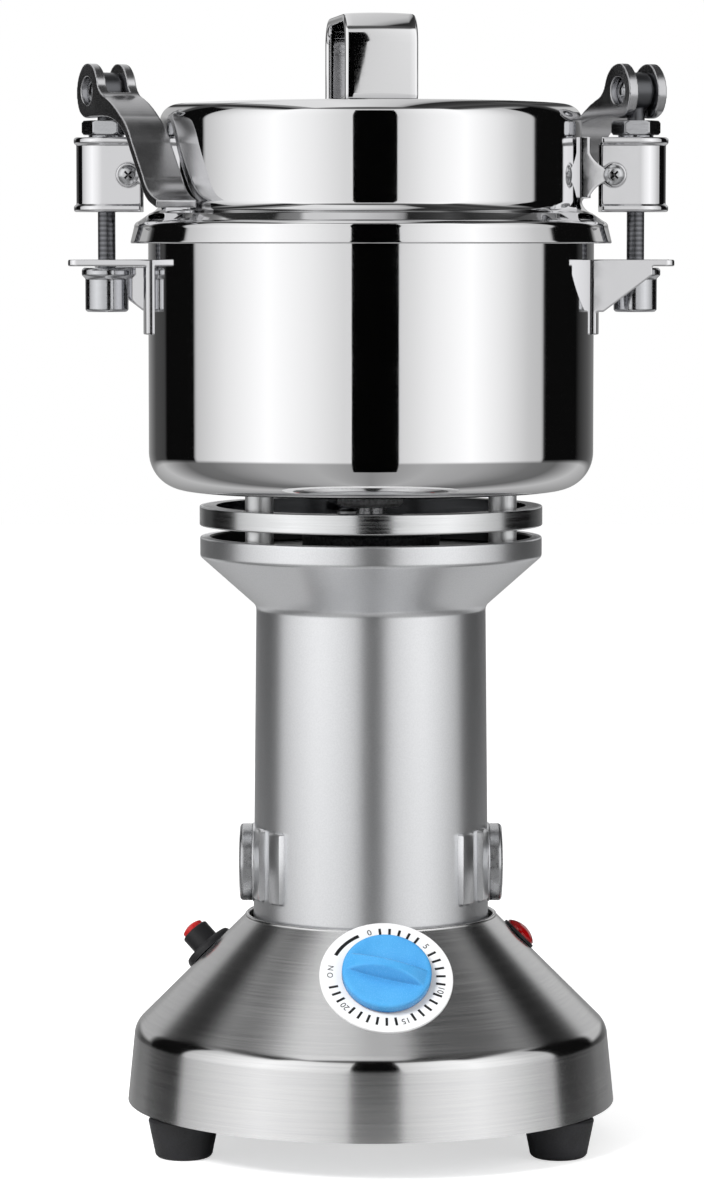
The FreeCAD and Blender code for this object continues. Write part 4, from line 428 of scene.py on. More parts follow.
# Ground steel of shafts and bearings, turned round the axis.
around_shaft = (0.3, (0.03, 0.03, 1))
ground_steel = finish_of("ground_steel", "#BDBEC0", 1.0, 0.22, shine=(around_shaft, 0.16, 0.3),
                         rise=(around_shaft, 0.01))
paint(ground_steel, "timer_shaft", "motor_bearings", "motor_shaft", "blade_spacers")

# As-cast aluminium, pale with a sandy skin.
cast_aluminium = finish_of("cast_aluminium", "#A8AAAC", 1.0, 0.5,
                           tones=(0.9, "#98999B", "#B6B8BA"), rise=(0.9, 0.12))
paint(cast_aluminium, "lower_end_shield")


# Base shell
# One piece of stainless sheet, spun: an upright band, a rounded shoulder, a cone of 45 degrees and
# a thin bright lip round the motor. It is brushed round the axis, which draws out the highlights.

brushed_steel = finish_of("brushed_stainless", "#DCDCDD", 1.0, 0.24, Anisotropic=0.85,
                          Anisotropic_Rotation=0.25)
tree, shader, place = inside(brushed_steel)
round_axis = add(tree, "ShaderNodeTangent", direction_type="RADIAL", axis="Z")
feed(tree, shader, {"Tangent": round_axis})
# The brush marks are 0.2 mm wide on the real one, and 0.5 mm here so that they show.
lines = grain(tree, place, 0.5, (0.012, 0.012, 1), 4.0)
broad = grain(tree, place, 1.6, (0.02, 0.02, 1), 2.0)
both = add(tree, "ShaderNodeMix", {"Factor": 0.3, "A": lines, "B": broad}).outputs["Result"]
# The spinning tool burnished the shoulder, so that it is brighter and sharper there.
shoulder_height = 0.0457
level = add(tree, "ShaderNodeSeparateXYZ", {"Vector": place}).outputs["Z"]
away = add(tree, "ShaderNodeMath", {0: level, 1: shoulder_height}, operation="SUBTRACT")
away = add(tree, "ShaderNodeMath", {0: away}, operation="ABSOLUTE")
burnished = add(tree, "ShaderNodeMapRange", {
    "Value": away, "From Min": 0.0014, "From Max": 0.0034, "To Min": 0.45})
brushed = polish(tree, shader, both, 0.22, 0.265)
dull = add(tree, "ShaderNodeMath", {0: brushed, 1: burnished}, operation="MULTIPLY")
feed(tree, shader, {"Roughness": dull})
tint(tree, shader, both, "#D9D9DA", "#E3E3E3")
relief(tree, shader, both, 0.003)

shell = spun("base_shell_spun", [
    (96.8, 16), (98, 16), (97.9, 17), (95.26, 43.4), (93.16, 47.84, "left", 9), (50.6, 90.4),
    (50.6, 90.6), (49.8, 91.4, "left", 0.8), (49, 90.6, "left", 0.8), (49, 88.3), (93.8, 43.5),
    (96.9, 17)], 240)
give(shell, brushed_steel, "base", "base_shell", "base_shell")


# Motor housing
# Cast aluminium in one piece, painted satin silver: a slightly tapered column, a flare under a
# flange with a sunk top, a flat boss for each brush cap, and air louvres raised beside the bosses.

def from_axis(tree, place, weights=(1, 1, 0)):
    """The distance in metres from the axis whose weight is 0, which is Z unless said otherwise."""
    flat = add(tree, "ShaderNodeVectorMath", {0: place, 1: weights}, operation="MULTIPLY")
    return add(tree, "ShaderNodeVectorMath", {0: flat}, operation="LENGTH").outputs["Value"]


silver_paint = finish_of("satin_silver_paint", "#E6E7E9", 0.95, 0.3)
tree, shader, place = inside(silver_paint)
fleck = grain(tree, place, 0.6, detail=2.0)
satin = tint(tree, shader, fleck, "#E3E4E6", "#EAEBED")
# Painted shade: the sunk top is coloured dark, for the shade that falls in the gap under the ring and
# the bowl.
sunk_radius = 0.0646
sunk_floor = 0.2375
level = add(tree, "ShaderNodeSeparateXYZ", {"Vector": place}).outputs["Z"]
within = add(tree, "ShaderNodeMath", {0: from_axis(tree, place), 1: sunk_radius},
             operation="LESS_THAN")
on_top = add(tree, "ShaderNodeMath", {0: level, 1: sunk_floor}, operation="GREATER_THAN")
sunk = add(tree, "ShaderNodeMath", {0: within, 1: on_top}, operation="MULTIPLY")
# skin is this painted shade, mixed in over the sunk top.
skin = add(tree, "ShaderNodeMix", {"Factor": sunk, 6: satin, 7: hex_colour("#343537")},
           data_type="RGBA")
feed(tree, shader, {"Base Color": skin.outputs[2]})
polish(tree, shader, fleck, 0.28, 0.31)
cast = relief(tree, shader, grain(tree, place, 9), 0.01)
relief(tree, shader, fleck, 0.0015, under=cast)


def lofted(rings):
    """A closed mesh over rings of points in mm, each with as many points, capped at both ends."""
    bm = bmesh.new()
    rings = [[bm.verts.new(point) for point in ring] for ring in rings]
    for first, second in zip(rings, rings[1:]):
        for k, corner in enumerate(first):
            after = (k + 1) % len(first)
            bm.faces.new((corner, second[k], second[after], first[after]))
    bm.faces.new(rings[0])
    bm.faces.new(rings[-1])
    return bm


def joined(name, *pieces):
    """Several pieces made one, with their sharp edges kept."""
    bm = bmesh.new()
    for piece in pieces:
        bm.from_mesh(piece.data)
        bpy.data.objects.remove(piece)
    return meshed(name, bm)


parts_of_housing = [spun("motor_housing_cast", [
    (42, 86), (47.3, 86), (46, 213.5), (47.1, 216.4, "right", 4), (67.6, 234.6),
    (68.4, 236.2, "left", 2), (68.4, 242.5), (67.6, 243.3, "left", 0.8), (64.8, 243.3),
    (64, 242.5, "left", 0.8), (64, 238.6), (63.4, 238, "right", 0.6), (11, 238), (11, 230),
    (42, 205)], 240)]
# Each hood is a bent strip, (across, out from the axis), that is drawn in at its two ends, given by
# (height, share of its width, share of its rise). All its points are in mm.
hood_strip = [(-4.2, 44), (-4.2, 45.5), (-3.2, 49.2), (3.2, 49.2), (5.6, 47.6), (5.6, 44)]
hood_levels = [(97.5, 0.62, 0.0), (98.1, 0.9, 0.72), (99.2, 1.0, 1.0), (125.8, 1.0, 1.0),
               (126.9, 0.9, 0.72), (127.5, 0.62, 0.0)]
# The points that lie inside the wall's face stay where they are.
wall = 45.3
for hand in (1, -1):
    for angle in (21.5, 38.5):
        hood = lofted([[(wall + (out - wall) * rise if out > wall else out,
                         -hand * across * width, height) for across, out in hood_strip]
                       for height, width, rise in hood_levels])
        parts_of_housing.append(circle_of(
            "louvres_%d_%d" % (hand, angle), into_object("louvre_pattern", hood, sharp=50), 2,
            hand * angle, silver_paint))
brush_height = 111.6
brush_place = Matrix.Translation((0, 0, brush_height)) @ Matrix.Rotation(math.pi / 2, 4, "Y")
boss = spun("brush_boss_pattern", [
    (0, 40), (15.9, 40), (15.9, 47.2), (15.5, 47.6, "left", 0.4), (0, 47.6)], 96, brush_place)
parts_of_housing.append(circle_of("brush_bosses", boss, 2, 0, silver_paint))
give(joined("motor_housing_painted", *parts_of_housing), silver_paint, "base", "housing_silver",
     "motor_housing")

# Sand-cast iron of the boss under the ring: dark and rough.
cast_iron = finish_of("cast_dark_iron", "#3A3B3D", 0.7, 0.55, tones=(1.1, "#2A2B2D", "#4A4B4E"),
                      rise=(1.1, 0.15))
bearing_boss = spun("bearing_boss_cast", [
    (7, 238), (27.5, 238), (27.5, 243.1), (26, 244.6, "left", 1.5), (9, 244.6), (7, 242.6)], 128)
give(bearing_boss, cast_iron, "base", "cast_dark", "bearing_cap")


# Carbon brush caps
# A turned metal cap closes each brush holder at the sides of the column. Its rim is slightly
# domed, and its face shows the fine rings that the tool left.

turned_metal = finish_of("turned_cap_metal", "#C2C3C5", 1.0, 0.28, shine=(3, 0.22, 0.34))
tree, shader, place = inside(turned_metal)
centred = add(tree, "ShaderNodeVectorMath", {0: place, 1: (0, 0, brush_height / 1000)},
              operation="SUBTRACT")
reach = from_axis(tree, centred, (0, 1, 1))
ring_width = 0.0006
phase = add(tree, "ShaderNodeMath", {0: reach, 1: 2 * math.pi / ring_width}, operation="MULTIPLY")
groove = add(tree, "ShaderNodeMath", {0: phase}, operation="SINE")
relief(tree, shader, groove, 0.008)
cap = spun("brush_cap_pattern", [
    (0, 46.1), (10, 46.1), (10, 47.6), (15.2, 47.6), (15.5, 47.9, "left", 0.3), (15.5, 51.2),
    (14.1, 52.6, "left", 1.5), (9.5, 52.9, "left", 60), (0, 52.9)], 96, brush_place)
give(circle_of("brush_caps_turned", cap, 2, 0, turned_metal), turned_metal, "base",
     "cap_steel", "brush_caps")


# Spacer ring, its sleeves and the screws of the bowl
# Three long screws go down from the bowl's floor through steel sleeves into the motor's flange.
# Between the sleeves they hold a turned ring by its three ears.

around_ring = (0.5, (0.02, 0.02, 1))
satin_steel = finish_of("turned_satin_steel", "#DFE0E1", 1.0, 0.2, shine=(around_ring, 0.14, 0.24),
                        rise=(around_ring, 0.006))
# Painted shade: the ring's inside and its ears are coloured dark, for the shade in the gap between the
# flange and the bowl.
turned_radius = 0.0672
tree, shader, place = inside(satin_steel)
outside = add(tree, "ShaderNodeMath", {0: from_axis(tree, place), 1: turned_radius},
              operation="GREATER_THAN")
tint(tree, shader, outside, "#47484A", "#DFE0E1", 0.1, 0.9)
ring = spun("spacer_ring_pattern", [
    (62, 247.7), (68, 247.7), (68.6, 248.3, "left", 0.6), (68.6, 255), (68, 255.6, "left", 0.6),
    (62, 255.6)], 240)
ear_line = rounded([(-6.5, 62.6), (-6.5, 56), (0, 49.5, "left", 6.5), (6.5, 56, "left", 6.5),
                    (6.5, 62.6)])
ear = lofted([[(point.x, point.y, height) for point in ear_line] for height in (250, 253)])
bolt_angle = 8.2
ears = circle_of("ring_ears", into_object("ring_ear_pattern", ear, round_off=0.3), 3, bolt_angle,
                 satin_steel)
give(joined("spacer_ring_turned", ring, ears), satin_steel, "base", "ring_steel", "spacer_ring")

# The sleeves are cut from bright aluminium tube with a soft, pale shine.
along_tube = (0.5, (1, 1, 0.03))
sleeve_tube = finish_of("bright_aluminium_tube", "#F2F3F4", 0.85, 0.4,
                        shine=(along_tube, 0.36, 0.46), rise=(along_tube, 0.004))
bolt_circle = 56
sleeves = []
for name, low, high in (("low_sleeves", 238, 250), ("high_sleeves", 253, 262)):
    sleeve = spun(name + "_pattern", [(3.2, low), (5.6, low), (5.6, high), (3.2, high)], 64,
                  Matrix.Translation((0, bolt_circle, 0)))
    sleeves.append(circle_of(name, sleeve, 3, bolt_angle, sleeve_tube))
give(joined("sleeves", *sleeves), sleeve_tube, "base", "ring_steel", "bowl_spacers")
long_screw = cross_screw("bowl_screw_pattern", 5.5, 3.2, 3, 28.5,
                         Matrix.Translation((0, bolt_circle, 263.5)), 0.5)
give(circle_of("bowl_screws_crossed", long_screw, 3, bolt_angle, screw_steel), screw_steel,
     "base", "plated_screw", "bowl_screws")


# Bowl, shaft hub and blades
# The bowl is deep-drawn stainless with a turned-out rim, polished to a mirror inside and out. A
# cast hub with a lip seal lets the shaft in, and a hexagon nut clamps it to the floor.

# Polished stainless: a near mirror, with faint marks of the polishing wheel round the axis.
mirror_steel = finish_of("mirror_polished_stainless", "#E4E4E5", 1.0, 0.045, rise=(60, 0.03))
tree, shader, place = inside(mirror_steel)
wheel = polish(tree, shader, grain(tree, place, 1.2, (0.03, 0.03, 1)), 0.02, 0.04)
smear = polish(tree, shader, grain(tree, place, 30, (1, 1, 0.6)), 0.0, 0.03)
haze = add(tree, "ShaderNodeMath", {0: wheel, 1: smear}, operation="ADD")
feed(tree, shader, {"Roughness": haze})

bowl = spun("bowl_drawn", [
    (8.1, 262), (73.8, 262), (88.8, 277, "left", 15), (88.8, 362), (90.3, 363.5, "right", 1.5),
    (91.9, 363.5), (92.4, 364.2, "left", 0.75), (91.7, 365, "left", 0.75), (90.3, 365),
    (87.3, 362, "left", 3), (87.3, 277), (73.8, 263.5, "right", 13.5), (8.1, 263.5)], 288)
give(bowl, mirror_steel, "base", "mirror_steel", "bowl")

rough_grey = finish_of("sand_cast_hub_metal", "#B4B5B7", 0.2, 0.55,
                       tones=(1.3, "#9A9B9D", "#C4C5C8"), rise=(1.3, 0.2))
hub = spun("shaft_hub_cast", [
    (6.4, 255), (11.3, 255), (12.8, 256.5), (12.8, 262), (8, 262), (8, 270), (6.4, 270),
    (6.4, 259.6), (10.1, 259.6), (10.1, 256), (6.4, 256)], 96)
give(hub, rough_grey, "base", "hub_grey", "shaft_hub")

# Ground blades: bright steel with the straight marks of the grinding wheel.
across_blade = (0.4, (1, 0.04, 1))
ground_blade = finish_of("ground_stainless_blade", "#C9CACC", 1.0, 0.2,
                         shine=(across_blade, 0.14, 0.3), rise=(across_blade, 0.02))
paint(ground_blade, "lower_blade", "middle_blade", "upper_blade")
# Turned nuts and pins: bright drawn steel.
around_nut = (0.35, (0.05, 0.05, 1))
bright_nut = finish_of("bright_turned_nut_steel", "#C4C5C8", 1.0, 0.16,
                       shine=(around_nut, 0.1, 0.22), rise=(around_nut, 0.003))
paint(bright_nut, "blade_nut", "hub_nut")
# Threaded rod: a dark rolled thread, dull in its flanks, drawn with a pitch of 2 mm so that it shows.
# It ends below the eye that the pin goes through.
thread_pitch = 1.973
thread_end = 0.401
threaded_rod = finish_of("threaded_steel_rod", "#77787B", 1.0, 0.36)
tree, shader, place = inside(threaded_rod)
thread = add(tree, "ShaderNodeTexWave", {"Vector": place, "Scale": bands_of_1_mm / thread_pitch},
             bands_direction="Z").outputs["Fac"]
level = add(tree, "ShaderNodeSeparateXYZ", {"Vector": place}).outputs["Z"]
below_eye = add(tree, "ShaderNodeMath", {0: level, 1: thread_end}, operation="LESS_THAN")
rolled = add(tree, "ShaderNodeMath", {0: thread, 1: below_eye}, operation="MULTIPLY")
tint(tree, shader, rolled, "#66676A", "#818286")
relief(tree, shader, rolled, 0.05)
seal_rubber = rubber.copy()
seal_rubber.name = "seal_rubber"
paint(seal_rubber, "shaft_seal")


# Catch brackets
# Under the bowl's rim on each side, a slotted plate takes the clamp's rod. A folded leg is welded
# to the wall and a gusset stiffens one arm. They are pressed from stainless and polished.

# Pressed and polished stainless: brighter than the sheet, with a soft ripple from pressing, and painted
# shade in its recesses.
pressed_steel = finish_of("pressed_polished_stainless", "#E0E0E2", 1.0, 0.06,
                          shine=(8, 0.03, 0.08), rise=(20, 0.015))
shade_recesses(pressed_steel, 1.2, "#2A2A2C", "#E0E0E2", 0.45, 0.8)


def softened(name, node, voxel_mm=0.3, passes=4, cutter=None):
    """A copy of a node's shape, tumbled: its crisp edges are rounded off by about a voxel."""
    bm = bmesh.new()
    bm.from_mesh(nodes[node].data)
    bmesh.ops.remove_doubles(bm, verts=bm.verts, dist=0.000002)
    item = meshed(name, bm)
    if cutter:
        cut(item, cutter)
    skin = item.modifiers.new("skin", "REMESH")
    skin.mode = "VOXEL"
    skin.voxel_size = voxel_mm / 1000
    skin.use_smooth_shade = True
    rub = item.modifiers.new("rub", "SMOOTH")
    rub.factor = 0.5
    rub.iterations = passes
    item.data = worked_out(item)
    return item


give(softened("catch_brackets_pressed", "catch_brackets", 0.34), pressed_steel, "base", "clamp_steel",
     "catch_brackets")


# Lid, gasket and handle
# The lid is spun from stainless and mirror-polished: a skirt over the bowl's rim, a shoulder that
# sweeps in, and a plug wall. A bent strap is spot-welded to its top as a handle.

lid = spun("lid_spun", [
    (94.3, 360), (95.2, 360), (95.8, 360.6, "left", 0.6), (94.4, 366.4), (92.6, 368.8, "left", 2.4),
    (88, 372), (84, 376, "right", 6), (84, 408), (77, 415, "left", 7), (0, 415), (0, 413.5),
    (77, 413.5), (82.5, 408, "right", 5.5), (82.5, 375.4), (87, 370.5, "left", 7.5),
    (91.1, 367.1), (92.9, 366.1)], 288)
give(lid, mirror_steel, "lid", "mirror_steel", "lid")

# Moulded silicone gasket: milky and dull.
silicone = finish_of("moulded_silicone", "#D8D7D2", roughness=0.55,
                     tones=(10, "#CFCEC8", "#DEDDD8"), rise=(0.6, 0.03))
paint(silicone, "lid_gasket")

# The handle's outline is seen from its side, and its slices lie across the strap, closer together
# where its edges are rounded.
lid_top = 415
strap_line = rounded([
    (-18, lid_top), (-26.8, lid_top), (-30, 418.2, "right", 3.2), (-30, 439),
    (-19, 450, "right", 11), (19, 450), (30, 439, "right", 11), (30, 418.2),
    (26.8, lid_top, "right", 3.2), (18, lid_top), (18, 418), (26.4, 418),
    (27, 418.6, "left", 0.6), (27, 439), (19, 447, "left", 8), (-19, 447), (-27, 439, "left", 8),
    (-27, 418.6), (-26.4, 418, "left", 0.6), (-18, 418)])
half_width = 14.5
edge_radius = 1.4
crown = 0.5
last_outside = strap_line.index(Vector((18, lid_top)))
edge_steps = [0, 0.08, 0.25, 0.5, 0.9, 1.4]
slices = ([-half_width + step for step in edge_steps] + [-11 + 2 * k for k in range(12)]
          + [half_width - step for step in reversed(edge_steps)])
rings = []
for across in slices:
    from_edge = min(half_width - abs(across), edge_radius)
    inset = edge_radius - math.sqrt(edge_radius ** 2 - (edge_radius - from_edge) ** 2)
    rings.append([])
    for k, point in enumerate(strap_line):
        along = (strap_line[(k + 1) % len(strap_line)] - strap_line[k - 1]).normalized()
        # The outer face is crowned, but for the feet, which lie flat.
        crowned = min(max((point.y - 418) / 6, 0), 1) if k <= last_outside else 0
        swell = crown * crowned * (1 - (across / half_width) ** 2) - inset
        rings[-1].append((point.x - along.y * swell, point.y + along.x * swell, across))
# The strap's own X, Y and Z become Y, Z and X, and the handle stands turned by 8 degrees.
upright = Matrix(((0, 0, 1, 0), (1, 0, 0, 0), (0, 1, 0, 0), (0, 0, 0, 1)))
handle = into_object("lid_handle_bent", lofted(rings),
                     Matrix.Rotation(math.radians(8), 4, "Z") @ upright, 50)
give(handle, mirror_steel, "lid", "clamp_steel", "lid_handle")


# Lid clamps
# On each side a pressed drum swings on two screws between ears on the lid. A rod hangs through it
# from a die-cast cam lever, a hexagon bush guides it, and a round nut grips the catch plate.

# Die-cast zinc, barrel-polished: grey and soft in its shine.
cast_zinc = finish_of("barrel_polished_zinc", "#C2C2C4", 1.0, 0.24,
                      tones=(14, "#BABABC", "#C8C8CA"), shine=(14, 0.2, 0.27), rise=(12, 0.015))

for side in ("right", "left"):
    for part, material, body, slot, voxel_mm, passes in (
            ("clamp_drum", pressed_steel, "drum", "clamp_steel", 0.3, 4),
            ("clamp_bush", bright_nut, "drum", "nut_steel", 0.2, 4),
            ("clamp_rod", threaded_rod, "rod", "nut_steel", 0.35, 4),
            ("clamp_pin", bright_nut, "rod", "nut_steel", 0.2, 4),
            ("clamp_nut", bright_nut, "rod", "nut_steel", 0.3, 4),
            ("clamp_lever", cast_zinc, "lever", "clamp_zinc", 0.3, 10)):
        node = part + "_" + side
        give(softened(node + "_finished", node, voxel_mm, passes), material, body + "_" + side, slot,
             node)
# The thin points that the ears' roots would leave under the strip are ground off up to this height.
ground_height = 377.98
grinding = bmesh.new()
slab = bmesh.ops.create_cube(grinding, size=1)["verts"]
bmesh.ops.scale(grinding, vec=(260, 80, 8), verts=slab)
bmesh.ops.translate(grinding, vec=(0, 0, ground_height - 4), verts=slab)
ground_off = into_object("ground_off", grinding)
ear_brackets = softened("ear_brackets_pressed", "ear_brackets", 0.26, cutter=ground_off)
bpy.data.objects.remove(ground_off)
give(ear_brackets, pressed_steel, "lid", "clamp_steel", "ear_brackets")
pivots = []
for front in (1, -1):
    pivot = cross_screw("pivot_screw_pattern_%d" % front, 3.9, 2.6, 2, 3,
                        Matrix.Translation((96, -front * 13.9, 387))
                        @ Matrix.Rotation(front * math.pi / 2, 4, "X"), 0.5)
    pivots.append(circle_of("pivot_screws_%d" % front, pivot, 2, 0, screw_steel))
give(joined("pivot_screws_crossed", *pivots), screw_steel, "lid", "plated_screw", "pivot_screws")


# Timer dial and knob
# A round white plate lies on the front of the cone, printed in black with the minutes. The knob is
# moulded in sky blue: a low dished disc, crossed by an arched grip for thumb and finger.

# White enamel paint on thin aluminium: smooth, with a slight orange peel.
dial_white = finish_of("white_dial_enamel", "#F2F2F2", roughness=0.3,
                       tones=(12, "#EFEFEF", "#F6F6F6"), rise=(1.5, 0.01))
dial_print = finish_of("black_dial_print", "#101012", roughness=0.45, rise=(0.3, 0.01))


def on_cone(degrees, height):
    """The place of a piece that stands square on the cone, turned from the front."""
    heading = math.radians(degrees)
    # On the cone's face the radius and the height add up to 141 mm.
    reach = 141 - height
    return (Matrix.Translation((reach * math.sin(heading), -reach * math.cos(heading), height))
            @ Matrix.Rotation(heading, 4, "Z") @ Matrix.Rotation(math.radians(45), 4, "X"))


dial_place = on_cone(4.9, 74.6)
plate = spun("dial_plate_pressed", [
    (5.1, 0.5), (26.1, 0.5), (26.1, 1.1), (25.7, 1.5, "left", 0.4), (5.1, 1.5)], 160, dial_place)
give(plate, dial_white, "base", "dial_white", "dial_plate")


def printed_bar(tree, given):
    """A bar of ink that runs outwards at its radius on the dial."""
    size = add(tree, "ShaderNodeCombineXYZ", {
        "X": given["Length"], "Y": given["Width"], "Z": given["Ink Height"]})
    bar = add(tree, "GeometryNodeMeshCube", {"Size": size})
    out = add(tree, "ShaderNodeCombineXYZ", {"X": given["Radius"]})
    return add(tree, "GeometryNodeTransform", {"Geometry": bar, "Translation": out})


bars_on_a_dial = ring_tree("bars_on_a_dial", printed_bar, Radius="Float", Length="Float",
                           Width="Float", Ink_Height="Float")
# The bars stand in groups of five minutes, with a number in the gap after each group.
marks = []
for group, (count, start, step) in enumerate((
        (5, 93, -10), (5, 30, -10.1), (5, -25, -9.8), (6, -83.5, -9.8), (3, -150, -9))):
    marks.append(run_tree("minute_bars_%d" % group, bars_on_a_dial, {
        "Count": count, "Start Angle": math.radians(start), "Step Angle": math.radians(step),
        "Radius": 0.02135, "Length": 0.0037, "Width": 0.001, "Ink Height": 0.00006,
        "Finish": dial_print}))

# A curved band marks the place before 0 where the motor is off. The ink stands this many mm to
# either side of its middle, as the bars' own height of 0.06 mm does.
half_ink = 0.03
band_steps = 24
band_rings = []
for step in range(band_steps + 1):
    angle = math.radians(116 + (151 - 116) * step / band_steps)
    band_rings.append([(far * math.cos(angle), far * math.sin(angle), up)
                       for far, up in ((21.2, -half_ink), (22.6, -half_ink), (22.6, half_ink),
                                       (21.2, half_ink))])
marks.append(into_object("off_band", lofted(band_rings)))


def numeral(text, size, angle, radius):
    """A printed number or letter that stands upright as seen from the knob's centre."""
    curve = bpy.data.curves.new("numeral_" + text, "FONT")
    curve.body = text
    curve.size = size
    curve.align_x = "CENTER"
    curve.align_y = "CENTER"
    curve.extrude = half_ink
    carrier = linked("numeral_" + text, curve)
    mesh = worked_out(carrier)
    bpy.data.objects.remove(carrier)
    turn = math.radians(angle)
    mesh.transform(Matrix.Scale(0.001, 4)
                   @ Matrix.Translation((radius * math.cos(turn), radius * math.sin(turn), 0))
                   @ Matrix.Rotation(turn - math.pi / 2, 4, "Z"))
    return linked("numeral_" + text, mesh)


for text, size, angle in (("0", 3.6, 104), ("5", 3.6, 41), ("10", 3.6, -18), ("15", 3.6, -73.5),
                          ("20", 3.6, -141), ("O", 3.2, 177), ("N", 3.2, 168)):
    marks.append(numeral(text, size, angle, 21.8))
printed = joined("dial_print_black", *marks)
# The ink's middle lies just above the plate's face, which is 1.5 mm up.
printed.data.transform(Matrix.Scale(0.001, 4) @ dial_place @ Matrix.Scale(1000, 4)
                       @ Matrix.Translation((0, 0, 0.00153)))
give(printed, dial_print, "base", "dial_white")

# Moulded blue plastic: even and semi-gloss, with painted shade in the creases at the foot of the grip.
knob_blue = finish_of("moulded_sky_blue_abs", "#4FA9E6", roughness=0.26, shine=(0.5, 0.22, 0.3),
                      rise=(0.5, 0.015))
tree, shader, place = inside(knob_blue)
cloud = tint(tree, shader, grain(tree, place, 16), "#479FDE", "#54ACE8")
crease_shade = shade_recesses(knob_blue, 5, "#3C6FA0", "#FFFFFF", 0.45, 0.85)
blue = add(tree, "ShaderNodeMix", {"Factor": 1.0, 6: cloud, 7: crease_shade}, data_type="RGBA",
           blend_type="MULTIPLY")
feed(tree, shader, {"Base Color": blue.outputs[2]})
knob = softened("timer_knob_moulded", "timer_knob", 0.3, 5)
give(knob, knob_blue, "timer", "knob_blue", "timer_knob")
# In the photo the bowl's underside and the flare don't mirror the dial, so metal doesn't see it.
for piece in (plate, printed, knob):
    piece.visible_glossy = False


# Reset button, pilot lamp and cord gland
# On the left of the cone the overload breaker's red button stands in a black barrel with a collar.
# On the right a dark red lens covers the pilot lamp. A gland for the cord closes the back.

# Moulded red plastic, glossy, darker than it looks under the lamps.
button_red = finish_of("moulded_red_abs", "#C02020", roughness=0.18,
                       tones=(4, "#B41A1A", "#C82828"))
reset_place = on_cone(-110, 72)
collar = spun("reset_barrel_moulded", [
    (4.9, 0), (11, 0), (11, 1), (10.2, 3, "left", 3), (6.4, 3.2), (5.9, 3.7, "right", 0.5),
    (5.9, 10.2), (5.1, 11, "left", 0.8), (4.9, 11)], 96, reset_place)
give(collar, black_plastic, "base", "black_plastic", "reset_collar")
button = spun("reset_button_moulded", [
    (0, 3.6), (4.6, 3.6), (4.6, 12.2), (4.4, 12.6, "left", 0.5), (0, 13.8, "left", 9)], 96,
    reset_place)
give(button, button_red, "reset", "button_red", "reset_button")

# Clear red plastic of the lens: light goes in and comes back dark.
lens_red = finish_of("clear_red_lens", "#B80E12", roughness=0.08, rise=(3, 0.03),
                     Transmission_Weight=0.15, Coat_Weight=0.5)
lamp_place = on_cone(96.5, 81)
bezel = spun("lamp_bezel_moulded", [
    (0, -14), (5, -14), (5, 0), (7.6, 0), (7.6, 0.7), (7.2, 1.1, "left", 0.4), (0, 1.1)], 96, lamp_place)
give(bezel, black_plastic, "base", "black_plastic", "pilot_lamp_body")
lens = spun("pilot_lamp_lens_clear", [
    (0, 1.1), (6.7, 1.1), (6.7, 1.9), (0, 4.5, "left", 9.93)], 96, lamp_place)
give(lens, lens_red, "base", "lens_red", "pilot_lamp_lens")


# Studio
# A pale sweep under the object, a white tent round it, and the black cards that draw the dark
# bands on polished metal. The camera stands where the photograph was taken from.

def staged(name, corners, material):
    """A flat sheet of the studio."""
    mesh = bpy.data.meshes.new(name)
    mesh.from_pydata(corners, [], [(0, 1, 2, 3)])
    mesh.materials.append(material)
    sheet = linked(name, mesh)
    return sheet


def seen_plainly(tree, seen_by):
    """1 for what the eye sees, straight or through glass, and 0 for all other rays."""
    return add(tree, "ShaderNodeMath", {
        0: seen_by["Is Camera Ray"], 1: seen_by["Is Transmission Ray"]}, operation="MAXIMUM")


# Matt white paper. To the eye it is lifted to the white of the tent, and only the soft shadow under
# the object is left. Metal sees it up to this far out, and past that the tent's own pale table.
paper_seen_to = 0.13
white_paper = finish_of("matt_white_paper", "#F4F4F4", roughness=0.9)
tree, shader, place = inside(white_paper)
seen_by = add(tree, "ShaderNodeLightPath").outputs
lifted = add(tree, "ShaderNodeMath", {0: seen_plainly(tree, seen_by), 1: 0.6}, operation="MULTIPLY")
glow = add(tree, "ShaderNodeEmission", {"Color": (1, 1, 1, 1), "Strength": lifted})
paper = add(tree, "ShaderNodeAddShader", {0: shader, 1: glow})
reach = add(tree, "ShaderNodeVectorMath", {0: place}, operation="LENGTH").outputs["Value"]
past_edge = add(tree, "ShaderNodeMath", {0: reach, 1: paper_seen_to}, operation="GREATER_THAN")
unseen = add(tree, "ShaderNodeMath", {0: past_edge.outputs["Value"], 1: seen_by["Is Glossy Ray"]},
             operation="MULTIPLY")
nothing = add(tree, "ShaderNodeBsdfTransparent")
surface = add(tree, "ShaderNodeMixShader", {0: unseen, 1: paper, 2: nothing})
feed(tree, tree.nodes["Material Output"], {"Surface": surface})
staged("floor", [(-4, -4, 0), (4, -4, 0), (4, 4, 0), (-4, 4, 0)], white_paper)

# A black card stands before the camera and is seen in the metal only. It is near enough for the bowl
# to show it in its middle while the clamps look past it.
card_left, card_right, card_y, card_top = -0.08, 0.112, -0.5, 0.8
card_black = finish_of("black_card_paper", "#060606", roughness=0.9, tones=(1, "#050505", "#070707"),
                       Specular_IOR_Level=0.0)
card = staged("black_card", [
    (card_left, card_y, 0), (card_right, card_y, 0), (card_right, card_y, card_top),
    (card_left, card_y, card_top)], card_black)
card.visible_camera = False
card.visible_diffuse = False
card.visible_shadow = False

world = bpy.data.worlds.new("white_tent")
bpy.context.scene.world = world
world.use_nodes = True
tree = world.node_tree
tree.nodes.clear()
seen_by = add(tree, "ShaderNodeLightPath").outputs
where = add(tree, "ShaderNodeTexCoord").outputs["Generated"]
axes = add(tree, "ShaderNodeSeparateXYZ", {"Vector": where}).outputs


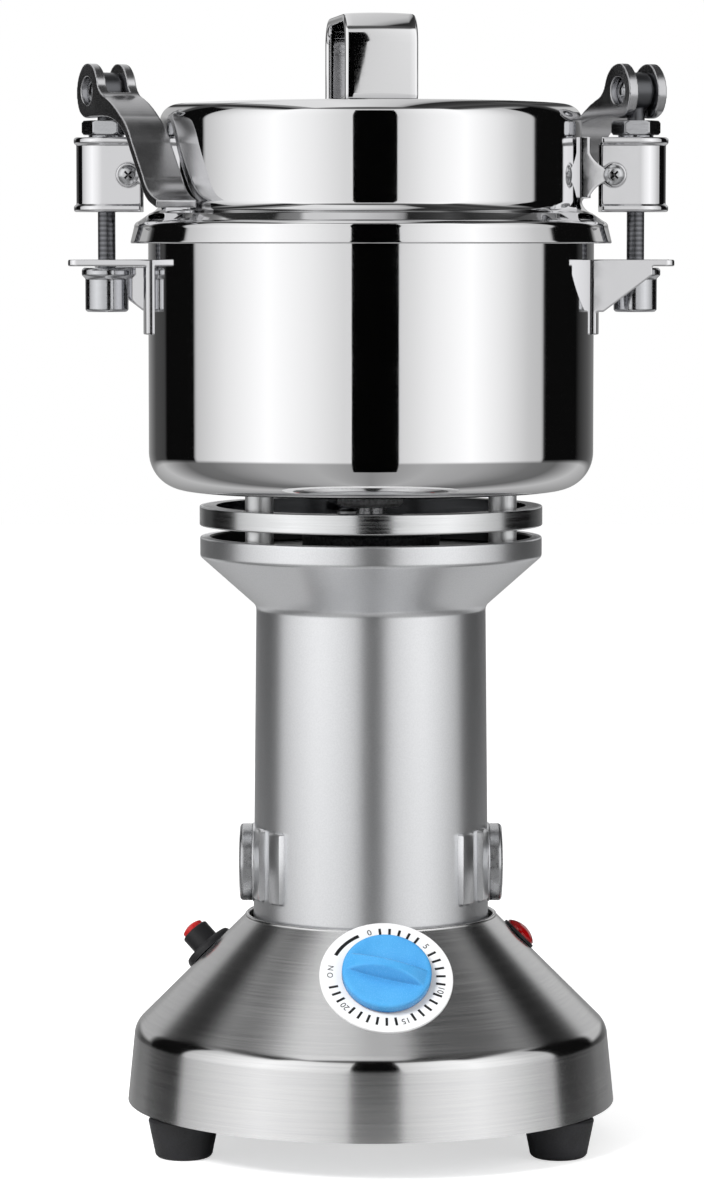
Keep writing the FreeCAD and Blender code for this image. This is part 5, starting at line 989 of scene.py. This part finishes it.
def light_by_angle(tree, angle, limit, stops):
    """Grey light by an angle of the tent: (degrees, level), from minus this limit to plus it."""
    share = add(tree, "ShaderNodeMapRange", {
        "Value": angle, "From Min": -math.radians(limit), "From Max": math.radians(limit)})
    ramp = add(tree, "ShaderNodeValToRGB", {"Fac": share})
    elements = ramp.color_ramp.elements
    while len(elements) < len(stops):
        elements.new(0.5)
    for element, (degrees, level) in zip(elements, stops):
        element.position = (degrees + limit) / (2 * limit)
        element.color = (level, level, level, 1)
    return ramp


# The angle round the object from its front. The tent glows on both sides of the front, a black card
# stands at each side, and the room behind is dim.
forward = add(tree, "ShaderNodeMath", {0: axes["Y"], 1: -1.0}, operation="MULTIPLY")
turned = add(tree, "ShaderNodeMath", {0: axes["X"], 1: forward}, operation="ARCTAN2")
cards = light_by_angle(tree, turned, 180, [
    (-180, 0.45), (-162, 0.25), (-148, 0.08), (-134, 0.06), (-131, 0.004), (-104, 0.004),
    (-102, 0.65), (-80, 1.0), (-54, 1.3), (-32, 1.08), (-14, 0.85), (14, 0.8), (32, 1.08),
    (52, 1.3), (72, 1.0), (88, 0.7), (98, 0.62), (100, 0.004), (131, 0.004), (137, 0.04),
    (150, 0.1), (164, 0.2), (180, 0.4)])
# The pale table is lit from both sides of the front, and lies in shade at its sides.
table_top = light_by_angle(tree, turned, 180, [
    (-180, 0.25), (-140, 0.6), (-112, 0.16), (-92, 0.2), (-60, 0.42), (-30, 0.5), (0, 0.3),
    (30, 0.5), (60, 0.42), (92, 0.2), (112, 0.16), (140, 0.6), (180, 0.25)])
# Overhead and behind hang panels side by side, which the cone shows as wedges. They run from front to
# back, and the lean to the left and to the right says which panel it is.
lean = add(tree, "ShaderNodeMath", {0: axes["X"], 1: axes["Z"]}, operation="ARCTAN2")
panels = light_by_angle(tree, lean, 45, [
    (-45.0, 0.5), (-43.2, 0.35), (-40.3, 0.26), (-39.3, 0.04), (-32.2, 0.03), (-31.0, 0.22),
    (-25.9, 0.34), (-24.4, 0.92), (-7.9, 0.92), (2.0, 0.76), (8.9, 0.66), (12.7, 0.4),
    (14.5, 0.03), (22.1, 0.05), (27.9, 0.09), (32.7, 0.04), (37.5, 0.08), (39.7, 0.16),
    (41.2, 0.2), (41.7, 0.4), (45.0, 0.6)])
# The tent ends 48 degrees up, with the dark studio over it, and stands on the table. Each edge is
# soft, from one height of the direction to the other, or from one depth to the other.
over_tent, table, overhead, risen, behind, far_back = [
    add(tree, "ShaderNodeMapRange", {"Value": axes[axis], "From Min": low, "From Max": high})
    for axis, low, high in (("Z", 0.74, 0.8), ("Z", -0.12, -0.2), ("Z", 0.64, 0.72),
                            ("Z", 0.02, 0.12), ("Y", -0.46, -0.36), ("Y", 0.68, 0.74))]
above = add(tree, "ShaderNodeMath", {0: behind, 1: overhead}, operation="MULTIPLY")
beyond = add(tree, "ShaderNodeMath", {0: far_back, 1: risen}, operation="MULTIPLY")
panel_part = add(tree, "ShaderNodeMath", {0: above, 1: beyond}, operation="MAXIMUM")
tent = cards
for share, colour in ((over_tent, (0.1, 0.1, 0.1, 1)), (panel_part, panels), (table, table_top)):
    tent = add(tree, "ShaderNodeMix", {"Factor": share, 6: tent, 7: colour},
               data_type="RGBA").outputs[2]
# The eye sees plain white, metal sees the tent, and all else is filled by an even light.
white = (1, 1, 1, 1)
seen, mirrored, fill = [
    add(tree, "ShaderNodeBackground", {"Color": colour, "Strength": strength})
    for colour, strength in ((white, 1.0), (tent, 1.0), (white, 0.44))]
lit = add(tree, "ShaderNodeMixShader", {0: seen_by["Is Glossy Ray"], 1: fill, 2: mirrored})
whole = add(tree, "ShaderNodeMixShader", {0: seen_plainly(tree, seen_by), 1: lit, 2: seen})
add(tree, "ShaderNodeOutputWorld", {"Surface": whole})

aim = Vector((0, 0, 0.2))
for name, at, size, power in (("key_softbox", (-1.1, -1.2, 1.6), 0.7, 38),
                              ("fill_softbox", (1.4, -1.1, 1.2), 1.0, 7)):
    lamp = bpy.data.lights.new(name, "AREA")
    lamp.shape = "SQUARE"
    lamp.size = size
    lamp.energy = power
    softbox = linked(name, lamp)
    softbox.location = at
    softbox.rotation_euler = (aim - Vector(at)).to_track_quat("-Z", "Y").to_euler()
    softbox.visible_glossy = False

lens_mm = 136.2
look_down = 4.49
camera = bpy.data.cameras.new("camera")
camera.lens = lens_mm
camera.clip_end = 20
tripod = linked("camera", camera)
tripod.location = (-0.0076, -1.816, 0.360)
tripod.rotation_euler = (math.radians(90 - look_down), 0, 0)
bpy.context.scene.camera = tripod

bpy.context.scene.view_settings.view_transform = "Standard"
